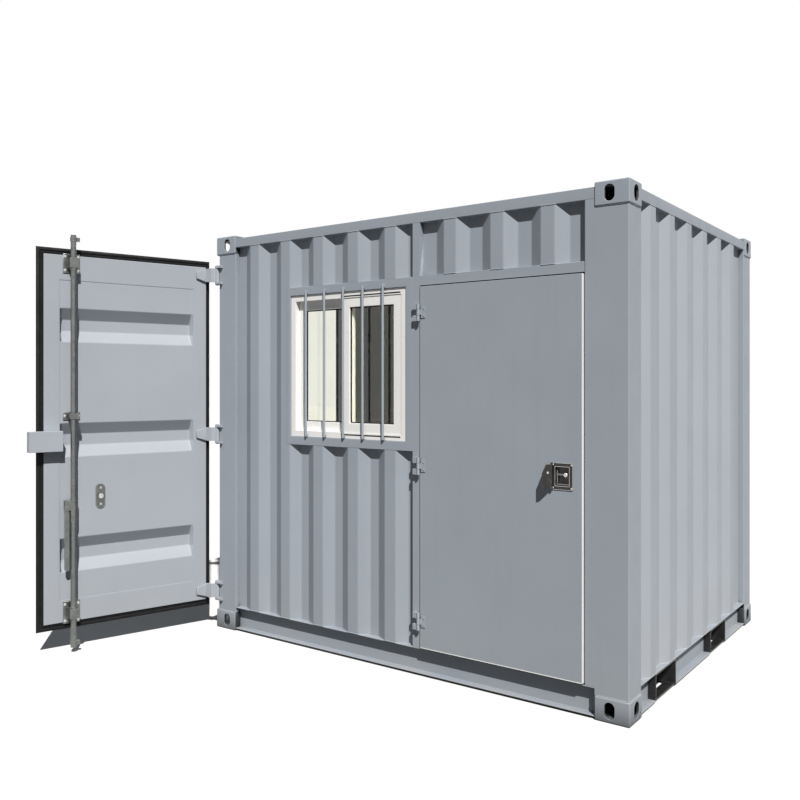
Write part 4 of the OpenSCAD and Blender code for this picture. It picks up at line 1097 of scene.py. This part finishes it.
def build_guide_bolts(side):
    """Bolts of the bar's guides, four on a tall plate and two on a low one, and the catch's faces."""
    node, place = side + "_bar_guides", LEAF[side]
    least, plate, thread = 80 * MM, 6 * MM, 4.5 * MM
    spread, margin = 38 * MM, 17 * MM
    bm = bmesh.new()
    for low, high in islands(node, place):
        middle = 0.5 * (low + high)
        tall, broad = high.z - low.z > least, high.y - low.y > least
        if broad:
            for y in (middle.y - spread, middle.y + spread):
                for z in (low.z + margin, high.z - margin) if tall else (middle.z,):
                    add_bolt(bm, (high.x - plate, y, z), OFF_LEAF, thread)
        elif tall:
            add_catch_faces(bm, Vector((low.x, middle.y, middle.z)))
    outward(bm)
    publish(side + "_guide_bolts", bm, side + "_cargo_door", "galvanised_steel", place, material=BRIGHT_ZINC)


# ------------------------------------------------------------ light and camera

def build_stage():
    """A plain floor, pale to the camera, gloss and glass, and dim in the light that it throws back."""
    half = 40.0
    foot = cad_box[0].z
    bm = bmesh.new()
    corners = ((-half, -half), (half, -half), (half, half), (-half, half))
    bm.faces.new([bm.verts.new((x, y, foot)) for x, y in corners])
    mesh = bpy.data.meshes.new("floor")
    bm.to_mesh(mesh)
    bm.free()
    floor = bpy.data.objects.new("floor", mesh)
    bpy.context.scene.collection.objects.link(floor)
    g = material_graph("floor")
    base = g.add("ShaderNodeBsdfDiffuse")
    g.put(base.inputs["Color"], g.mix(g.seen(), (0.11, 0.11, 0.11, 1.0), (0.82, 0.82, 0.82, 1.0)))
    mesh.materials.append(g.end(base.outputs[0]))


def build_light():
    """A high sun, a faint one low behind, and a dim sky that is white to camera, gloss and glass."""
    world = bpy.data.worlds.new("studio")
    bpy.context.scene.world = world
    g = Graph(world)
    dim = g.background((0.84, 0.92, 1.0, 1.0), 0.10)
    white = g.background((1.0, 1.0, 1.0, 1.0), 1.0)
    g.end(g.blend(g.seen(), dim, white), "ShaderNodeOutputWorld")
    add_sun("key", azimuth=48.5, elevation=49.0, strength=5.0, spread=0.8, tint=(1.0, 0.975, 0.945))
    add_sun("back", azimuth=196.0, elevation=3.0, strength=1.0, spread=6.0, tint=(0.93, 0.97, 1.0))


def add_sun(name, azimuth, elevation, strength, spread, tint):
    """A sun whose light comes from azimuth, turned from -Y towards +X, and elevation, in degrees."""
    lamp = bpy.data.lights.new(name, "SUN")
    lamp.energy = strength
    lamp.color = tint
    lamp.angle = math.radians(spread)
    holder = bpy.data.objects.new(name, lamp)
    bpy.context.scene.collection.objects.link(holder)
    turn, rise = math.radians(azimuth), math.radians(elevation)
    source = Vector((math.sin(turn) * math.cos(rise), -math.cos(turn) * math.cos(rise), math.sin(rise)))
    holder.rotation_mode = "QUATERNION"
    holder.rotation_quaternion = source.to_track_quat("Z", "Y")


def build_camera():
    """The camera stands off the near right corner, level, about at a person's eye height."""
    right, forward, eye = 1.469, 3.846, 1.622
    heading = Vector((-0.589, 0.808, 0.0))
    low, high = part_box("bottom_castings")
    camera = bpy.data.cameras.new("camera")
    camera.sensor_width = 36.0
    camera.lens = 38.1
    camera.shift_y = -0.021
    holder = bpy.data.objects.new("camera", camera)
    bpy.context.scene.collection.objects.link(holder)
    holder.location = (high.x + right, low.y - forward, eye)
    holder.rotation_mode = "QUATERNION"
    holder.rotation_quaternion = heading.to_track_quat("-Z", "Y")
    bpy.context.scene.camera = holder


build_frame()
build_doorway()
build_window()
build_cargo_doors()
build_stage()
build_light()
build_camera()
bpy.context.scene.view_settings.view_transform = "Standard"
